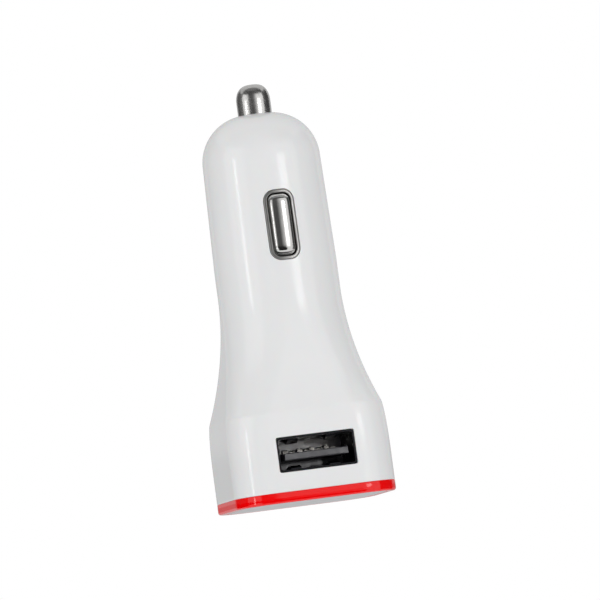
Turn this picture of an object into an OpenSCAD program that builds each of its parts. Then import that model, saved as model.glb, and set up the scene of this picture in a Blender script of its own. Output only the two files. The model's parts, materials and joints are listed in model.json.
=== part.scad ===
// Car USB charger plug: a round socket plug that flares into a rounded square head with a port in its side.
// Millimetres. It stands on its end face, +Z points to the tip contact and the port looks along -Y.

/* [Barrel] */
// Radius of the straight stretch that the socket grips
barrel_r = 10.25; // [10:0.05:10.6]
// How much the barrel tapers from that stretch to where the nose rounding starts
nose_taper = 0.4; // [0.3:0.05:0.75]
// Height of the nose's flat top above the end face
nose_z = 65.4; // [64:0.1:68]
// Radius of the rounding round the nose
nose_round = 7.9; // [7.2:0.1:8.4]
// Height at which the barrel starts to flare
flare_z = 35; // [33:0.1:36]
// Length of the straight stretch
grip_l = 4.8; // [3.6:0.1:5]
// Wall of the moulded shell
wall = 1.6; // [1.4:0.05:1.7]
// Wall of the nose round the tip contact
nose_wall = 1.8; // [1.6:0.05:2.2]

/* [Head] */
// Width and depth of the rounded square head
head_w = 27.3; // [27:0.1:29]
// Radius of the head's upright corners
corner_r = 6.5; // [5.5:0.1:7.5]
// Height of the crease between flare and head
shoulder_z = 15; // [14.6:0.1:16.5]
// How far the head's sides lean in at the crease
shoulder_lean = 0.36; // [0.2:0.02:0.5]
// How late in the flare the round turns square, 1 is evenly
square_rate = 1.7; // [1.2:0.1:2.2]

/* [Light ring and end cap] */
// Height of the red ring
ring_h = 1.75; // [1.6:0.05:2.2]
// Width of the ring's face beside the cap
ring_face = 1.5; // [1.3:0.05:1.6]
// Radius on the ring's lower outer edge
ring_edge = 0.4; // [0.2:0.05:0.6]
// Thickness of the end cap's plate
cap_t = 1.3; // [1.1:0.05:1.4]
// Height of the ring's spigot inside the shell
spigot_h = 2.2; // [1.8:0.1:2.6]
// Wall of the ring's spigot
spigot_t = 1.1; // [0.8:0.05:1.2]
// Gap between parts that fit together
fit_gap = 0.08; // [0.05:0.01:0.1]

/* [Tip contact] */
// Diameter of the tip contact
tip_d = 5.7; // [5.2:0.1:6]
// How far the tip stands out of the nose
tip_out = 5; // [4:0.1:6]
// Height of the domed end
tip_dome_h = 2.8; // [2:0.1:3.2]
// Travel of the tip against its spring
tip_travel = 2.6; // [2:0.1:2.8]
// Radius of the collar that keeps the tip in
collar_r = 4.2; // [3.9:0.05:4.4]
// Thickness of the collar
collar_t = 1.4; // [1.2:0.1:1.6]
// Mean radius of the tip spring
spring_r = 2.6; // [2.4:0.05:2.9]
// Thickness of the spring wire
spring_wire = 0.5; // [0.4:0.05:0.6]
// Turns of the spring
spring_turns = 5.5; // [4.5:0.5:6]
// Height of the ledge that stops the spring seat
ledge_z = 54.6; // [54:0.1:55.4]
// Thickness of the spring seat
seat_t = 1.6; // [1.4:0.1:2]
// Radius of the tip terminal's disc
terminal_r = 3.6; // [3.3:0.1:4]

/* [Ground contacts] */
// Width of the slot in the barrel
slot_w = 5.2; // [4.9:0.05:5.4]
// Height of the slot
slot_h = 11.8; // [11.4:0.1:12]
// Height of the slot's centre above the end face
slot_z = 46; // [45.8:0.1:46.4]
// Radius of the slot's corners
slot_r = 1.9; // [1.6:0.05:2.1]
// Width of the bezel's rim
bezel_rim = 0.5; // [0.4:0.05:0.6]
// Overlap of the bezel's flange behind the wall
bezel_flange = 0.6; // [0.4:0.05:0.8]
// Gap round the contact in its bezel
contact_gap = 0.2; // [0.15:0.01:0.25]
// Thickness of the contact's sheet
sheet_t = 0.4; // [0.3:0.05:0.5]
// Width of the contact's bulge
bulge_w = 3.5; // [3.2:0.05:3.55]
// Height of the bulge
bulge_h = 8.8; // [8:0.1:9]
// How far the bulge stands out of the barrel
bulge_out = 0.75; // [0.5:0.05:0.9]
// How deep the contact's plate lies in the slot
plate_depth = 0.55; // [0.45:0.05:0.65]
// Width of the contact's leaf
leaf_w = 3; // [2.4:0.1:3.2]
// Height of the leaf's root on the ground band
root_z = 31.5; // [30.5:0.1:32]
// Room between the bezel's flange and the leaf
leaf_room = 0.55; // [0.45:0.05:0.65]
// Height of the ground band
band_h = 3.7; // [3:0.1:4.2]

/* [USB port] */
// Width of the port's metal shell
port_w = 13.1; // [13:0.05:13.3]
// Height of the port's metal shell
port_h = 5.7; // [5.6:0.05:5.8]
// Height of the port's centre above the end face
port_z = 7.9; // [7.6:0.1:8.3]
// How far the mouth lies behind the head's face
port_inset = 0.25; // [0.15:0.05:0.5]
// Thickness of the shell's sheet
shell_t = 0.3; // [0.25:0.01:0.32]
// Radius of the shell's outer corners
shell_r = 0.6; // [0.45:0.05:0.8]
// Gap between the tongue and the shell's side walls
tongue_side = 0.9; // [0.7:0.05:1]
// Thickness of the tongue
tongue_t = 1.2; // [1.1:0.05:1.4]
// How far the tongue lies below the port's centre
tongue_drop = 0.4; // [0.3:0.05:0.5]
// How far the tongue's end lies behind the mouth
tongue_inset = 0.4; // [0.3:0.1:1]
// Depth of the block that carries the tongue
block_l = 4.6; // [4.2:0.1:5]
// Width of a contact pin
pin_w = 0.8; // [0.7:0.05:0.95]
// Thickness of a contact pin
pin_t = 0.25; // [0.2:0.01:0.28]
// Rise of a pin's bow above the tongue
pin_bow = 0.25; // [0.2:0.05:0.4]
// Height above the tongue at which a pin leaves the block
pin_root = 0.55; // [0.45:0.05:0.6]
// Distance of the two inner pins from the middle
inner_pin_x = 1; // [1:0.01:1.02]
// Distance of the two outer pins from the middle
outer_pin_x = 3.5; // [3.48:0.01:3.52]

/* [Circuit board] */
// Distance of the board's front face behind the plug's axis, which sets the port's depth
board_y = 0.6; // [0.4:0.1:0.8]
// Thickness of the board
board_t = 1.2; // [1:0.1:1.6]
// Gap between the board's edges and the head's walls
board_side = 1.45; // [1.4:0.05:1.8]
// Room between the input capacitor and the leaf at rest
cap_room = 1.05; // [0.9:0.05:1.6]
// Length of the input capacitor
input_cap_l = 11; // [9:0.5:11.5]
// Height of the output capacitor
output_cap_l = 7.7; // [5.4:0.1:8]
// Diameter of the inductor's core
core_d = 8.4; // [7:0.1:8.6]
// Height of the inductor's core
core_h = 6; // [4:0.1:6.2]

/* [Hidden] */

// Finish of curves: steps round a loft's section, levels in the flare and in the head, steps in an arc
sides = 64;
flare_levels = 12;
head_levels = 6;
arc_steps = 12;
fine = 96;
// Overlap of a cutting tool with the face that it cuts
over = 0.5;

head_half = head_w / 2;
shoulder_half = head_half - shoulder_lean;
// Half the straight length of a side at the crease
crease_flat = shoulder_half - corner_r;
// Radius of the flare's arc, upright at the barrel and through the crease
flare_rise = shoulder_half - barrel_r;
flare_run = flare_z - shoulder_z;
flare_arc = (flare_run ^ 2 + flare_rise ^ 2) / (2 * flare_rise);
// Height above which the head's sides start to lean in
lean_z = 4;
// Step between the loft's last section and the round barrel, which hides the section's corners
loft_step = 0.03;
nose_start_r = barrel_r - nose_taper;
nose_arc_z = nose_z - nose_round;
nose_arc_r = nose_start_r - nose_round;
bore_r = nose_start_r - wall;
ledge_w = 0.75;
ledge_r = bore_r - ledge_w;
inner_round = nose_round - wall;

tip_r = tip_d / 2;
tip_clear = 0.08;
collar_clear = 0.1;
pocket_side = 0.5;
pocket_r = collar_r + pocket_side;
pocket_z = nose_z - nose_wall;
collar_z = pocket_z - collar_clear - collar_t;
spring_side = 0.35;
spigot_r = spring_r - spring_wire / 2 - spring_side;
seat_r = bore_r - fit_gap;
terminal_t = 0.4;
terminal_z = ledge_z + terminal_t;
terminal_leg_w = 1.5;
terminal_leg_l = 5.2;

port_face_y = -head_half + port_inset;
port_l = board_y - port_face_y;
board_back_y = board_y + board_t;
board_lift = 1;
board_bottom_z = cap_t + board_lift;
board_top_z = ledge_z - seat_t - fit_gap;
board_step = 0.5;
head_board_z = shoulder_z - board_step;
neck_run = 6;
neck_board_z = shoulder_z + neck_run;
board_head = head_half - wall - board_side;
rib_t = 1;
rib_gap = 0.3;
rib_bottom_z = ring_h + spigot_h + rib_gap;
post_w = 3.2;
post_h = 2.4;
led_w = 2.4;
led_inset = 0.5;
led_x = board_head - led_inset - led_w / 2;
led_gap = 0.1;
post_x = led_x - led_w / 2 - led_gap - post_w / 2;

slot_inner_w = slot_w - 2 * (fit_gap + bezel_rim);
slot_inner_h = slot_h - 2 * (fit_gap + bezel_rim);
slot_inner_r = slot_r - fit_gap - bezel_rim;
solder_gap = 0.05;
flange_t = 0.45;
flange_r = bore_r - solder_gap;
flange_inner_r = flange_r - flange_t;
// Barrel's radius at the middle of the slot
slot_barrel_r = barrel_r
    - (barrel_r - nose_start_r) * (slot_z - flare_z - grip_l) / (nose_arc_z - flare_z - grip_l);
plate_y = slot_barrel_r - plate_depth;
plate_w = slot_inner_w - 2 * contact_gap;
plate_h = slot_inner_h - 2 * contact_gap;
plate_r = slot_inner_r - contact_gap;
bulge_rise = plate_depth + bulge_out + sheet_t / 2;
leaf_gap = 0.3;
leaf_y = flange_inner_r - leaf_room;
// Shelf that joins the leaf to the plate's lower edge, above the bezel's rim
shelf_inset = 0.35;
shelf_z = slot_z - plate_h / 2 + shelf_inset;
leaf_bend = 0.3;
tab_w = leaf_w;
// Radius of the ground band's hoop, and half the width of a board that passes through it
hoop_r = leaf_y - solder_gap;
hoop_gap = 0.1;
board_neck = sqrt((hoop_r - sheet_t) ^ 2 - board_back_y ^ 2) - hoop_gap;
cap_d = leaf_y - sheet_t + board_y - solder_gap - cap_room;

tongue_w = port_w - 2 * shell_t - 2 * tongue_side;
tongue_top = -tongue_drop + tongue_t / 2;
tongue_front_y = port_face_y + tongue_inset;
block_front_y = board_y - block_l;
groove_d = pin_t + 0.1;
groove_side = 0.1;
pin_z = tongue_top - groove_d;
root_rise = tongue_top + pin_root;
// Dark pockets in the block between the pins
pocket_w = 1.35;
pocket_h = 0.75;
pocket_d = 1.5;
pocket_lean = 0.15;
pin_tail = 1.2;
pin_hole_r = 0.65;
shell_inner_r = shell_r - shell_t;
shell_inner_top = port_h / 2 - shell_t;
finger_w = 1.9;
finger_x = 3.3;
finger_front_y = port_face_y + 0.17 * port_l;
finger_root_y = port_face_y + 0.57 * port_l;
finger_bend_y = port_face_y + 0.29 * port_l;
finger_dip = 0.75;
window_side = 0.3;
tab_z = 2;
tab_x = port_w / 2 - shell_t / 2;

// Places of the small parts along the board
inductor_rise = 2;
inductor_z = shoulder_z + inductor_rise;
output_cap_rise = 2.5;
output_cap_z = shoulder_z + output_cap_rise;
input_cap_rise = 0.8;
input_cap_z = flare_z + input_cap_rise;
chip_w = 3.9;
chip_l = 4.9;
chip_t = 1.5;
lead_pitch = 1.27;
chip_gap = 3.35;
chip_z = inductor_z + core_d / 2 + chip_gap + chip_l / 2;
diode_l = 4.3;
diode_w = 2.6;
diode_t = 2.1;
diode_gap = 3.75;
diode_z = chip_z + chip_l / 2 + diode_gap + diode_w / 2;
fuse_l = 6.1;
fuse_w = 2.6;
fuse_t = 2.4;
fuse_end = 1.2;
fuse_gap = 3.9;
fuse_z = diode_z + diode_w / 2 + fuse_gap + fuse_w / 2;
// Small chip parts: length, width, thickness and the length of an end
small_l = 2;
small_w = 1.25;
small_t = 1;
small_end = 0.4;
small_x = 3.6;
small_gap = 2.925;
large_l = 3.2;
large_w = 1.6;
large_t = 1.2;
large_end = 0.5;
large_x = 3.8;
resistor_t = 0.55;
resistor_x = 3.4;
resistor_rise = 4;
led_rise = 1.2;
led_z = board_bottom_z + led_rise;

// Points of a square with half width h and corner radius r, anticlockwise from above
function outline(h, r, n = sides) = [
    for (i = [0:n - 1])
        let (a = (i + 0.5) * 360 / n)
        [(h - r) * sign(cos(a)) + r * cos(a), (h - r) * sign(sin(a)) + r * sin(a)]
];

// Points of a rectangle with rounded corners
function rounded(w, h, r, steps = arc_steps) = [
    for (q = [0:3])
        for (i = [0:steps])
            let (a = 90 * q + 90 * i / steps, sx = (q == 0 || q == 3) ? 1 : -1, sy = q < 2 ? 1 : -1)
            [sx * (w / 2 - r) + r * cos(a), sy * (h / 2 - r) + r * sin(a)]
];

// Half width of the flare at height z: an arc that leaves the barrel upright
function flare_half(z) = barrel_r + flare_arc - sqrt(flare_arc ^ 2 - (flare_z - z) ^ 2);

// Half the straight length of a side at height z: none at the barrel, full at the crease
function flare_flat(z) = crease_flat * ((flare_z - z) / flare_run) ^ square_rate;

// Half width of the head at height z, leaning in towards the crease
function head_half_at(z) =
    head_half - shoulder_lean * (max(0, z - lean_z) / (shoulder_z - lean_z)) ^ 4;

// Levels of the shell from height low to the barrel, drawn in by inset: [height, half width, corner radius]
function shell_levels(low, inset) = concat(
    [
        for (k = [0:head_levels - 1])
            let (z = low + (shoulder_z - low) * (1 - (1 - k / head_levels) ^ 2), h = head_half_at(z))
            [z, h - inset, h - (crease_flat + (h - shoulder_half)) - inset]
    ],
    [
        for (k = [0:flare_levels])
            let (
                z = shoulder_z + flare_run * k / flare_levels,
                h = flare_half(z) - (k == flare_levels ? loft_step : 0)
            )
            [z, h - inset, h - flare_flat(z) - inset]
    ]
);

// Solid through a list of levels
module loft(levels) {
    n = len(levels);
    points = [for (l = levels) for (p = outline(l[1], l[2])) [p[0], p[1], l[0]]];
    faces = concat(
        [[for (i = [0:sides - 1]) i]],
        [[for (i = [sides - 1:-1:0]) (n - 1) * sides + i]],
        [
            for (k = [0:n - 2])
                for (i = [0:sides - 1])
                    let (j = (i + 1) % sides, a = k * sides, b = (k + 1) * sides)
                    each [[a + i, b + i, b + j], [a + i, b + j, a + j]]
        ]
    );
    polyhedron(points, faces);
}

// Upright prism of a rounded square, from z1 to z2
module square_prism(half, r, z1, z2) {
    translate([0, 0, z1])
        linear_extrude(z2 - z1)
            polygon(outline(half, r));
}

// Prism of a rounded rectangle that runs along Y, from y1 to y2, with its middle at height z
module cross_prism(w, h, r, z, y1, y2) {
    translate([0, y2, z])
        rotate([90, 0, 0])
            linear_extrude(y2 - y1)
                polygon(rounded(w, h, r));
}

// A profile of [y, z] points, w wide about x
module side_profile(points, x, w) {
    translate([x - w / 2, 0, 0])
        rotate([90, 0, 90])
            linear_extrude(w)
                polygon(points);
}

// Box between two corners
module block(low, high) {
    translate(low)
        cube([for (i = [0:2]) high[i] - low[i]]);
}

// Round barrel and nose as one turned solid
module barrel_solid() {
    arc = [
        for (i = [0:arc_steps])
            let (a = 90 * i / arc_steps)
            [nose_arc_r + nose_round * cos(a), nose_arc_z + nose_round * sin(a)]
    ];
    rotate_extrude($fn = fine)
        polygon(concat(
            [[0, flare_z], [barrel_r, flare_z], [barrel_r, flare_z + grip_l]],
            arc,
            [[0, nose_z]]
        ));
}

// Room inside the barrel and nose, with the ledge that stops the spring seat
module barrel_room() {
    a1 = acos((ledge_r - nose_arc_r) / inner_round);
    a2 = acos((pocket_r - nose_arc_r) / inner_round);
    arc = [
        for (i = [0:arc_steps])
            let (a = a1 + (a2 - a1) * i / arc_steps)
            [nose_arc_r + inner_round * cos(a), nose_arc_z + inner_round * sin(a)]
    ];
    rotate_extrude($fn = fine)
        polygon(concat(
            [[0, flare_z - 2], [bore_r, flare_z - 2], [bore_r, ledge_z], [ledge_r, ledge_z]],
            arc,
            [[pocket_r, pocket_z], [0, pocket_z]]
        ));
}

// Ribs on the head's side walls that hold the board's edges
module board_ribs() {
    for (side = [-1, 1])
        for (y = [board_y - fit_gap - rib_t, board_back_y + fit_gap])
            translate([side > 0 ? board_head - rib_t / 2 : -head_half + wall / 2, y, rib_bottom_z])
                cube([head_half - wall / 2 - board_head + rib_t / 2, rib_t, head_board_z - rib_bottom_z]);
}

module housing() {
    color("whitesmoke")
        difference() {
            union() {
                barrel_solid();
                loft(shell_levels(ring_h, 0));
            }
            difference() {
                loft(shell_levels(ring_h - over, wall));
                board_ribs();
            }
            barrel_room();
            translate([0, 0, pocket_z - over])
                cylinder(r = tip_r + tip_clear, h = nose_wall + 2 * over, $fn = fine);
            cross_prism(slot_w, slot_h, slot_r, slot_z, -head_half, head_half);
            cross_prism(
                port_w + 2 * fit_gap, port_h + 2 * fit_gap, shell_r, port_z,
                -head_half - over, -head_half + wall + 2 * over
            );
        }
}

module light_ring() {
    edge_steps = 3;
    levels = concat(
        [
            for (i = [0:edge_steps])
                let (a = 90 * i / edge_steps, inset = ring_edge * (1 - sin(a)))
                [ring_edge * (1 - cos(a)), head_half - inset, corner_r - inset]
        ],
        [[ring_h, head_half, corner_r]]
    );
    color("red")
        difference() {
            union() {
                loft(levels);
                square_prism(
                    head_half - wall - fit_gap, corner_r - wall - fit_gap, ring_h - over, ring_h + spigot_h
                );
            }
            square_prism(
                head_half - wall - fit_gap - spigot_t, corner_r - wall - fit_gap - spigot_t,
                -over, ring_h + spigot_h + over
            );
            square_prism(head_half - ring_face, corner_r - ring_face, -over, cap_t + fit_gap);
        }
}

module end_cap() {
    slot_half = board_t / 2 + fit_gap;
    mid_y = (board_y + board_back_y) / 2;
    color("silver")
        difference() {
            union() {
                square_prism(
                    head_half - ring_face - fit_gap, corner_r - ring_face - fit_gap, 0, cap_t
                );
                for (x = [-post_x, post_x])
                    block(
                        [x - post_w / 2, mid_y - slot_half - rib_t, cap_t - over],
                        [x + post_w / 2, mid_y + slot_half + rib_t, cap_t + post_h]
                    );
            }
            for (x = [-post_x, post_x])
                block(
                    [x - post_w, mid_y - slot_half, board_bottom_z - fit_gap],
                    [x + post_w, mid_y + slot_half, cap_t + post_h + over]
                );
        }
}

module tip_contact() {
    dome_z = nose_z + tip_out - tip_dome_h;
    crown = [
        for (i = [1:arc_steps])
            let (a = 90 * i / arc_steps)
            [tip_r * cos(a) ^ (2 / 3), dome_z + tip_dome_h * sin(a)]
    ];
    color("lightgray")
        rotate_extrude($fn = fine)
            polygon(concat(
                [
                    [0, collar_z - tip_travel], [spigot_r, collar_z - tip_travel], [spigot_r, collar_z],
                    [collar_r, collar_z], [collar_r, collar_z + collar_t], [tip_r, collar_z + collar_t],
                    [tip_r, dome_z]
                ],
                [for (p = crown) if (p[0] > 0.05) p],
                [[0, nose_z + tip_out]]
            ));
}

// Round wire along a coil, flat nowhere, from height low to height high
module tip_spring() {
    ring_sides = 8;
    turn_steps = 16;
    low = terminal_z + spring_wire / 2;
    high = collar_z - collar_clear - spring_wire / 2;
    n = ceil(spring_turns * turn_steps);
    rings = [
        for (k = [0:n])
            let (
                t = 360 * spring_turns * k / n,
                lean = atan((high - low) / (spring_turns * 2 * PI * spring_r)),
                z = low + (high - low) * k / n
            )
            [
                for (i = [0:ring_sides - 1])
                    let (
                        a = 360 * i / ring_sides,
                        out = spring_r + spring_wire / 2 * cos(a),
                        along = -spring_wire / 2 * sin(a) * sin(lean),
                        up = spring_wire / 2 * sin(a) * cos(lean)
                    )
                    [out * cos(t) - along * sin(t), out * sin(t) + along * cos(t), z + up]
            ]
    ];
    faces = concat(
        [[for (i = [ring_sides - 1:-1:0]) i]],
        [[for (i = [0:ring_sides - 1]) n * ring_sides + i]],
        [
            for (k = [0:n - 1])
                for (i = [0:ring_sides - 1])
                    let (j = (i + 1) % ring_sides, a = k * ring_sides, b = (k + 1) * ring_sides)
                    each [[a + i, a + j, b + j], [a + i, b + j, b + i]]
        ]
    );
    color("gray")
        polyhedron([for (r = rings) each r], faces);
}

module tip_terminal() {
    leg_front = board_y - solder_gap - terminal_t;
    color("goldenrod")
        union() {
            translate([0, 0, ledge_z])
                cylinder(r = terminal_r, h = terminal_t, $fn = fine);
            block(
                [-terminal_leg_w / 2, leg_front, ledge_z - terminal_leg_l],
                [terminal_leg_w / 2, leg_front + terminal_t, ledge_z + terminal_t / 2]
            );
        }
}

module spring_seat() {
    leg_front = board_y - solder_gap - terminal_t;
    color("dimgray")
        difference() {
            translate([0, 0, ledge_z - seat_t])
                cylinder(r = seat_r, h = seat_t, $fn = fine);
            block(
                [-terminal_leg_w / 2 - fit_gap, leg_front - fit_gap, ledge_z - seat_t - over],
                [terminal_leg_w / 2 + fit_gap, leg_front + terminal_t + fit_gap, ledge_z + over]
            );
        }
}

// Plated rim that lines the slot, flush with the barrel, with a flange behind the wall
module bezel() {
    color("darkgray")
        difference() {
            union() {
                intersection() {
                    barrel_solid();
                    cross_prism(
                        slot_w - 2 * fit_gap, slot_h - 2 * fit_gap, slot_r - fit_gap, slot_z,
                        -barrel_r - over, -flange_inner_r / 2
                    );
                }
                intersection() {
                    translate([0, 0, slot_z - slot_h])
                        cylinder(r = flange_r, h = 2 * slot_h, $fn = fine);
                    cross_prism(
                        slot_w + 2 * bezel_flange, slot_h + 2 * bezel_flange, slot_r + bezel_flange, slot_z,
                        -barrel_r, -flange_inner_r / 2
                    );
                }
            }
            cross_prism(slot_inner_w, slot_inner_h, slot_inner_r, slot_z, -barrel_r - 2 * over, 0);
            translate([0, 0, slot_z - slot_h])
                cylinder(r = flange_inner_r, h = 2 * slot_h, $fn = fine);
        }
}

module bezel_front() {
    bezel();
}

module bezel_rear() {
    mirror([0, 1, 0])
        bezel();
}

// Long dome with blunt ends on a base w wide and h high, rising along -Y from the plane at distance y
module bulge(w, h, rise, y) {
    rings = 7;
    n = 32;
    points = concat(
        [
            for (k = [0:rings - 1])
                for (i = [0:n - 1])
                    let (
                        a = (i + 0.5) * 360 / n,
                        b = 90 * k / rings,
                        up = h / 2 * (cos(b) * abs(sin(a))) ^ 0.25
                    )
                    [w / 2 * cos(b) * cos(a), -y - rise * sin(b), slot_z + sign(sin(a)) * up]
        ],
        [for (s = [-1, 1]) [0, -y - rise, slot_z + s * 0.22 * h]]
    );
    low = rings * n;
    high = rings * n + 1;
    last = (rings - 1) * n;
    faces = concat(
        [[for (i = [0:n - 1]) i]],
        [
            for (k = [0:rings - 2])
                for (i = [0:n - 1])
                    let (j = (i + 1) % n, a = k * n, b = (k + 1) * n)
                    each [[a + i, b + j, a + j], [a + i, b + i, b + j]]
        ],
        [for (i = [0:n / 2 - 2]) [last + i, high, last + i + 1]],
        [for (i = [n / 2:n - 2]) [last + i, low, last + i + 1]],
        [
            [last + n / 2 - 1, low, last + n / 2], [last + n / 2 - 1, high, low],
            [last + n - 1, high, last], [last + n - 1, low, high]
        ]
    );
    polyhedron(points, faces);
}

// Stamped contact: a plate with a long hollow bulge, and a leaf down to the ground band
module ground_contact() {
    foot_z = root_z + leaf_gap;
    bend_in = leaf_bend + sheet_t * (2 - sqrt(2));
    color("silver")
        difference() {
            union() {
                cross_prism(plate_w, plate_h, plate_r, slot_z, -plate_y, -plate_y + sheet_t);
                bulge(bulge_w, bulge_h, bulge_rise, plate_y - sheet_t / 2);
                side_profile(
                    [
                        [-leaf_y, foot_z], [-leaf_y, shelf_z - leaf_bend], [-leaf_y - leaf_bend, shelf_z],
                        [-plate_y + sheet_t / 2, shelf_z], [-plate_y + sheet_t / 2, shelf_z + sheet_t],
                        [-leaf_y + sheet_t - bend_in, shelf_z + sheet_t],
                        [-leaf_y + sheet_t, shelf_z + sheet_t - bend_in], [-leaf_y + sheet_t, foot_z]
                    ],
                    0, leaf_w
                );
            }
            bulge(
                bulge_w - 2 * sheet_t, bulge_h - 2 * sheet_t, bulge_rise,
                plate_y - sheet_t - sheet_t / 2
            );
        }
}

module ground_contact_front() {
    ground_contact();
}

module ground_contact_rear() {
    mirror([0, 1, 0])
        ground_contact();
}

// Half hoop round the board's edge with a flat tab under each leaf
module ground_band() {
    color("silver")
        union() {
            difference() {
                translate([0, 0, root_z - band_h])
                    cylinder(r = hoop_r, h = band_h, $fn = fine);
                translate([0, 0, root_z - band_h - over])
                    cylinder(r = hoop_r - sheet_t, h = band_h + 2 * over, $fn = fine);
                block(
                    [-hoop_r - over, -hoop_r - over, root_z - band_h - over],
                    [0, hoop_r + over, root_z + over]
                );
            }
            for (side = [-1, 1])
                let (y = side > 0 ? leaf_y - sheet_t : -leaf_y)
                block([-tab_w / 2, y, root_z - band_h], [tab_w / 2, y + sheet_t, root_z]);
        }
}

module circuit_board() {
    outline_points = [
        [board_head, board_bottom_z], [board_head, head_board_z], [board_neck, neck_board_z],
        [board_neck, board_top_z], [-board_neck, board_top_z], [-board_neck, neck_board_z],
        [-board_head, head_board_z], [-board_head, board_bottom_z]
    ];
    color("darkgreen")
        difference() {
            translate([0, board_back_y, 0])
                rotate([90, 0, 0])
                    linear_extrude(board_t)
                        polygon(outline_points);
            for (x = [-outer_pin_x, -inner_pin_x, inner_pin_x, outer_pin_x])
                translate([x, board_back_y + over, port_z + root_rise + pin_t / 2])
                    rotate([90, 0, 0])
                        cylinder(r = pin_hole_r, h = board_t + 2 * over, $fn = 32);
            for (x = [-tab_x, tab_x])
                block(
                    [x - shell_t, board_y - over, port_z - tab_z / 2 - 0.2],
                    [x + shell_t, board_back_y + over, port_z + tab_z / 2 + 0.2]
                );
        }
}

// Spring finger of the port's shell, cut from its upper or lower wall and bent inwards
module shell_finger(x, up) {
    top = shell_inner_top;
    points = [
        [finger_root_y + 0.4, top], [finger_root_y, top], [finger_bend_y, top - finger_dip],
        [finger_front_y, top - 0.4 * finger_dip], [finger_front_y, top - 0.4 * finger_dip + shell_t],
        [finger_bend_y, top - finger_dip + shell_t], [finger_root_y, top + shell_t],
        [finger_root_y + 0.4, top + shell_t]
    ];
    side_profile([for (p = points) [p[0], port_z + up * p[1]]], x, finger_w);
}

module usb_shell() {
    color("silver")
        union() {
            difference() {
                cross_prism(port_w, port_h, shell_r, port_z, port_face_y, board_y);
                cross_prism(
                    port_w - 2 * shell_t, port_h - 2 * shell_t, shell_inner_r, port_z,
                    port_face_y - over, board_y + over
                );
                for (x = [-finger_x, finger_x])
                    block(
                        [x - finger_w / 2 - window_side, finger_front_y - window_side, port_z - port_h],
                        [x + finger_w / 2 + window_side, finger_root_y, port_z + port_h]
                    );
            }
            for (x = [-finger_x, finger_x])
                for (up = [-1, 1])
                    shell_finger(x, up);
            for (x = [-tab_x, tab_x])
                block(
                    [x - shell_t / 2, board_y - over, port_z - tab_z / 2],
                    [x + shell_t / 2, board_back_y + pin_tail, port_z + tab_z / 2]
                );
        }
}

module usb_insulator() {
    half_w = port_w / 2 - shell_t - 0.05;
    half_h = port_h / 2 - shell_t - 0.05;
    chamfer = 0.15;
    groove_start = 0.6;
    tongue_low = tongue_top - tongue_t;
    color([0.08, 0.08, 0.09])
        difference() {
            union() {
                cross_prism(
                    2 * half_w, 2 * half_h, shell_inner_r, port_z, block_front_y, board_y
                );
                side_profile(
                    [
                        [block_front_y + over, port_z + tongue_low],
                        [tongue_front_y + chamfer, port_z + tongue_low],
                        [tongue_front_y, port_z + tongue_low + chamfer],
                        [tongue_front_y, port_z + tongue_top - chamfer],
                        [tongue_front_y + chamfer, port_z + tongue_top],
                        [block_front_y + over, port_z + tongue_top]
                    ],
                    0, tongue_w
                );
            }
            for (x = [-outer_pin_x, -inner_pin_x, inner_pin_x, outer_pin_x]) {
                block(
                    [x - pin_w / 2 - groove_side, tongue_front_y + groove_start, port_z + pin_z],
                    [x + pin_w / 2 + groove_side, block_front_y, port_z + tongue_top + fit_gap]
                );
                block(
                    [x - pin_w / 2 - groove_side, block_front_y - over, port_z + root_rise],
                    [x + pin_w / 2 + groove_side, board_y + over, port_z + root_rise + groove_d]
                );
            }
            for (x = [-(inner_pin_x + outer_pin_x) / 2, 0, (inner_pin_x + outer_pin_x) / 2])
                translate([x, block_front_y + pocket_d, port_z + tongue_top])
                    rotate([90, 0, 0])
                        linear_extrude(pocket_d + over)
                            polygon([
                                [-pocket_w / 2, 0], [pocket_w / 2, 0],
                                [pocket_w / 2 - pocket_lean, pocket_h],
                                [pocket_lean - pocket_w / 2, pocket_h]
                            ]);
        }
}

// Contact pin: it leaves the block above the tongue, drops into its groove and bows up where it meets a plug
module usb_pin(x) {
    front = tongue_front_y + 0.8;
    bow_1 = tongue_front_y + 1.6;
    bow_2 = tongue_front_y + 3;
    bow_3 = tongue_front_y + 3.6;
    bow_4 = tongue_front_y + 5;
    crest = pin_z + groove_d + pin_bow;
    drop_1 = block_front_y - 1;
    drop_2 = block_front_y - 0.45;
    miter = 0.56 * pin_t;
    back = board_back_y + pin_tail;
    lower = [
        [front, pin_z], [bow_1, pin_z], [bow_2, crest - pin_t], [bow_3, crest - pin_t], [bow_4, pin_z],
        [drop_1, pin_z], [drop_2, root_rise], [back, root_rise]
    ];
    upper = [
        [back, root_rise + pin_t], [drop_2 - miter, root_rise + pin_t], [drop_1 - miter, pin_z + pin_t],
        [bow_4, pin_z + pin_t], [bow_3, crest], [bow_2, crest], [bow_1, pin_z + pin_t],
        [front, pin_z + pin_t]
    ];
    color("gold")
        side_profile([for (p = concat(lower, upper)) [p[0], port_z + p[1]]], x, pin_w);
}

module usb_pin_1() {
    usb_pin(-outer_pin_x);
}

module usb_pin_2() {
    usb_pin(-inner_pin_x);
}

module usb_pin_3() {
    usb_pin(inner_pin_x);
}

module usb_pin_4() {
    usb_pin(outer_pin_x);
}

// A solid turned about an upright line, laid so that it stands out of the board's back
module on_back(x, z) {
    translate([x, board_back_y + solder_gap, z])
        rotate([-90, 0, 0])
            children();
}

// The same on the board's front
module on_front(x, z) {
    translate([x, board_y - solder_gap, z])
        rotate([90, 0, 0])
            children();
}

core_neck_r = core_d / 2 - 1.9;
core_flange_t = 1;

module inductor_core() {
    color("dimgray")
        on_back(0, inductor_z)
            rotate_extrude($fn = 64)
                polygon([
                    [0, 0], [core_d / 2, 0], [core_d / 2, core_flange_t], [core_neck_r, core_flange_t],
                    [core_neck_r, core_h - core_flange_t], [core_d / 2, core_h - core_flange_t],
                    [core_d / 2, core_h], [0, core_h]
                ]);
}

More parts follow.
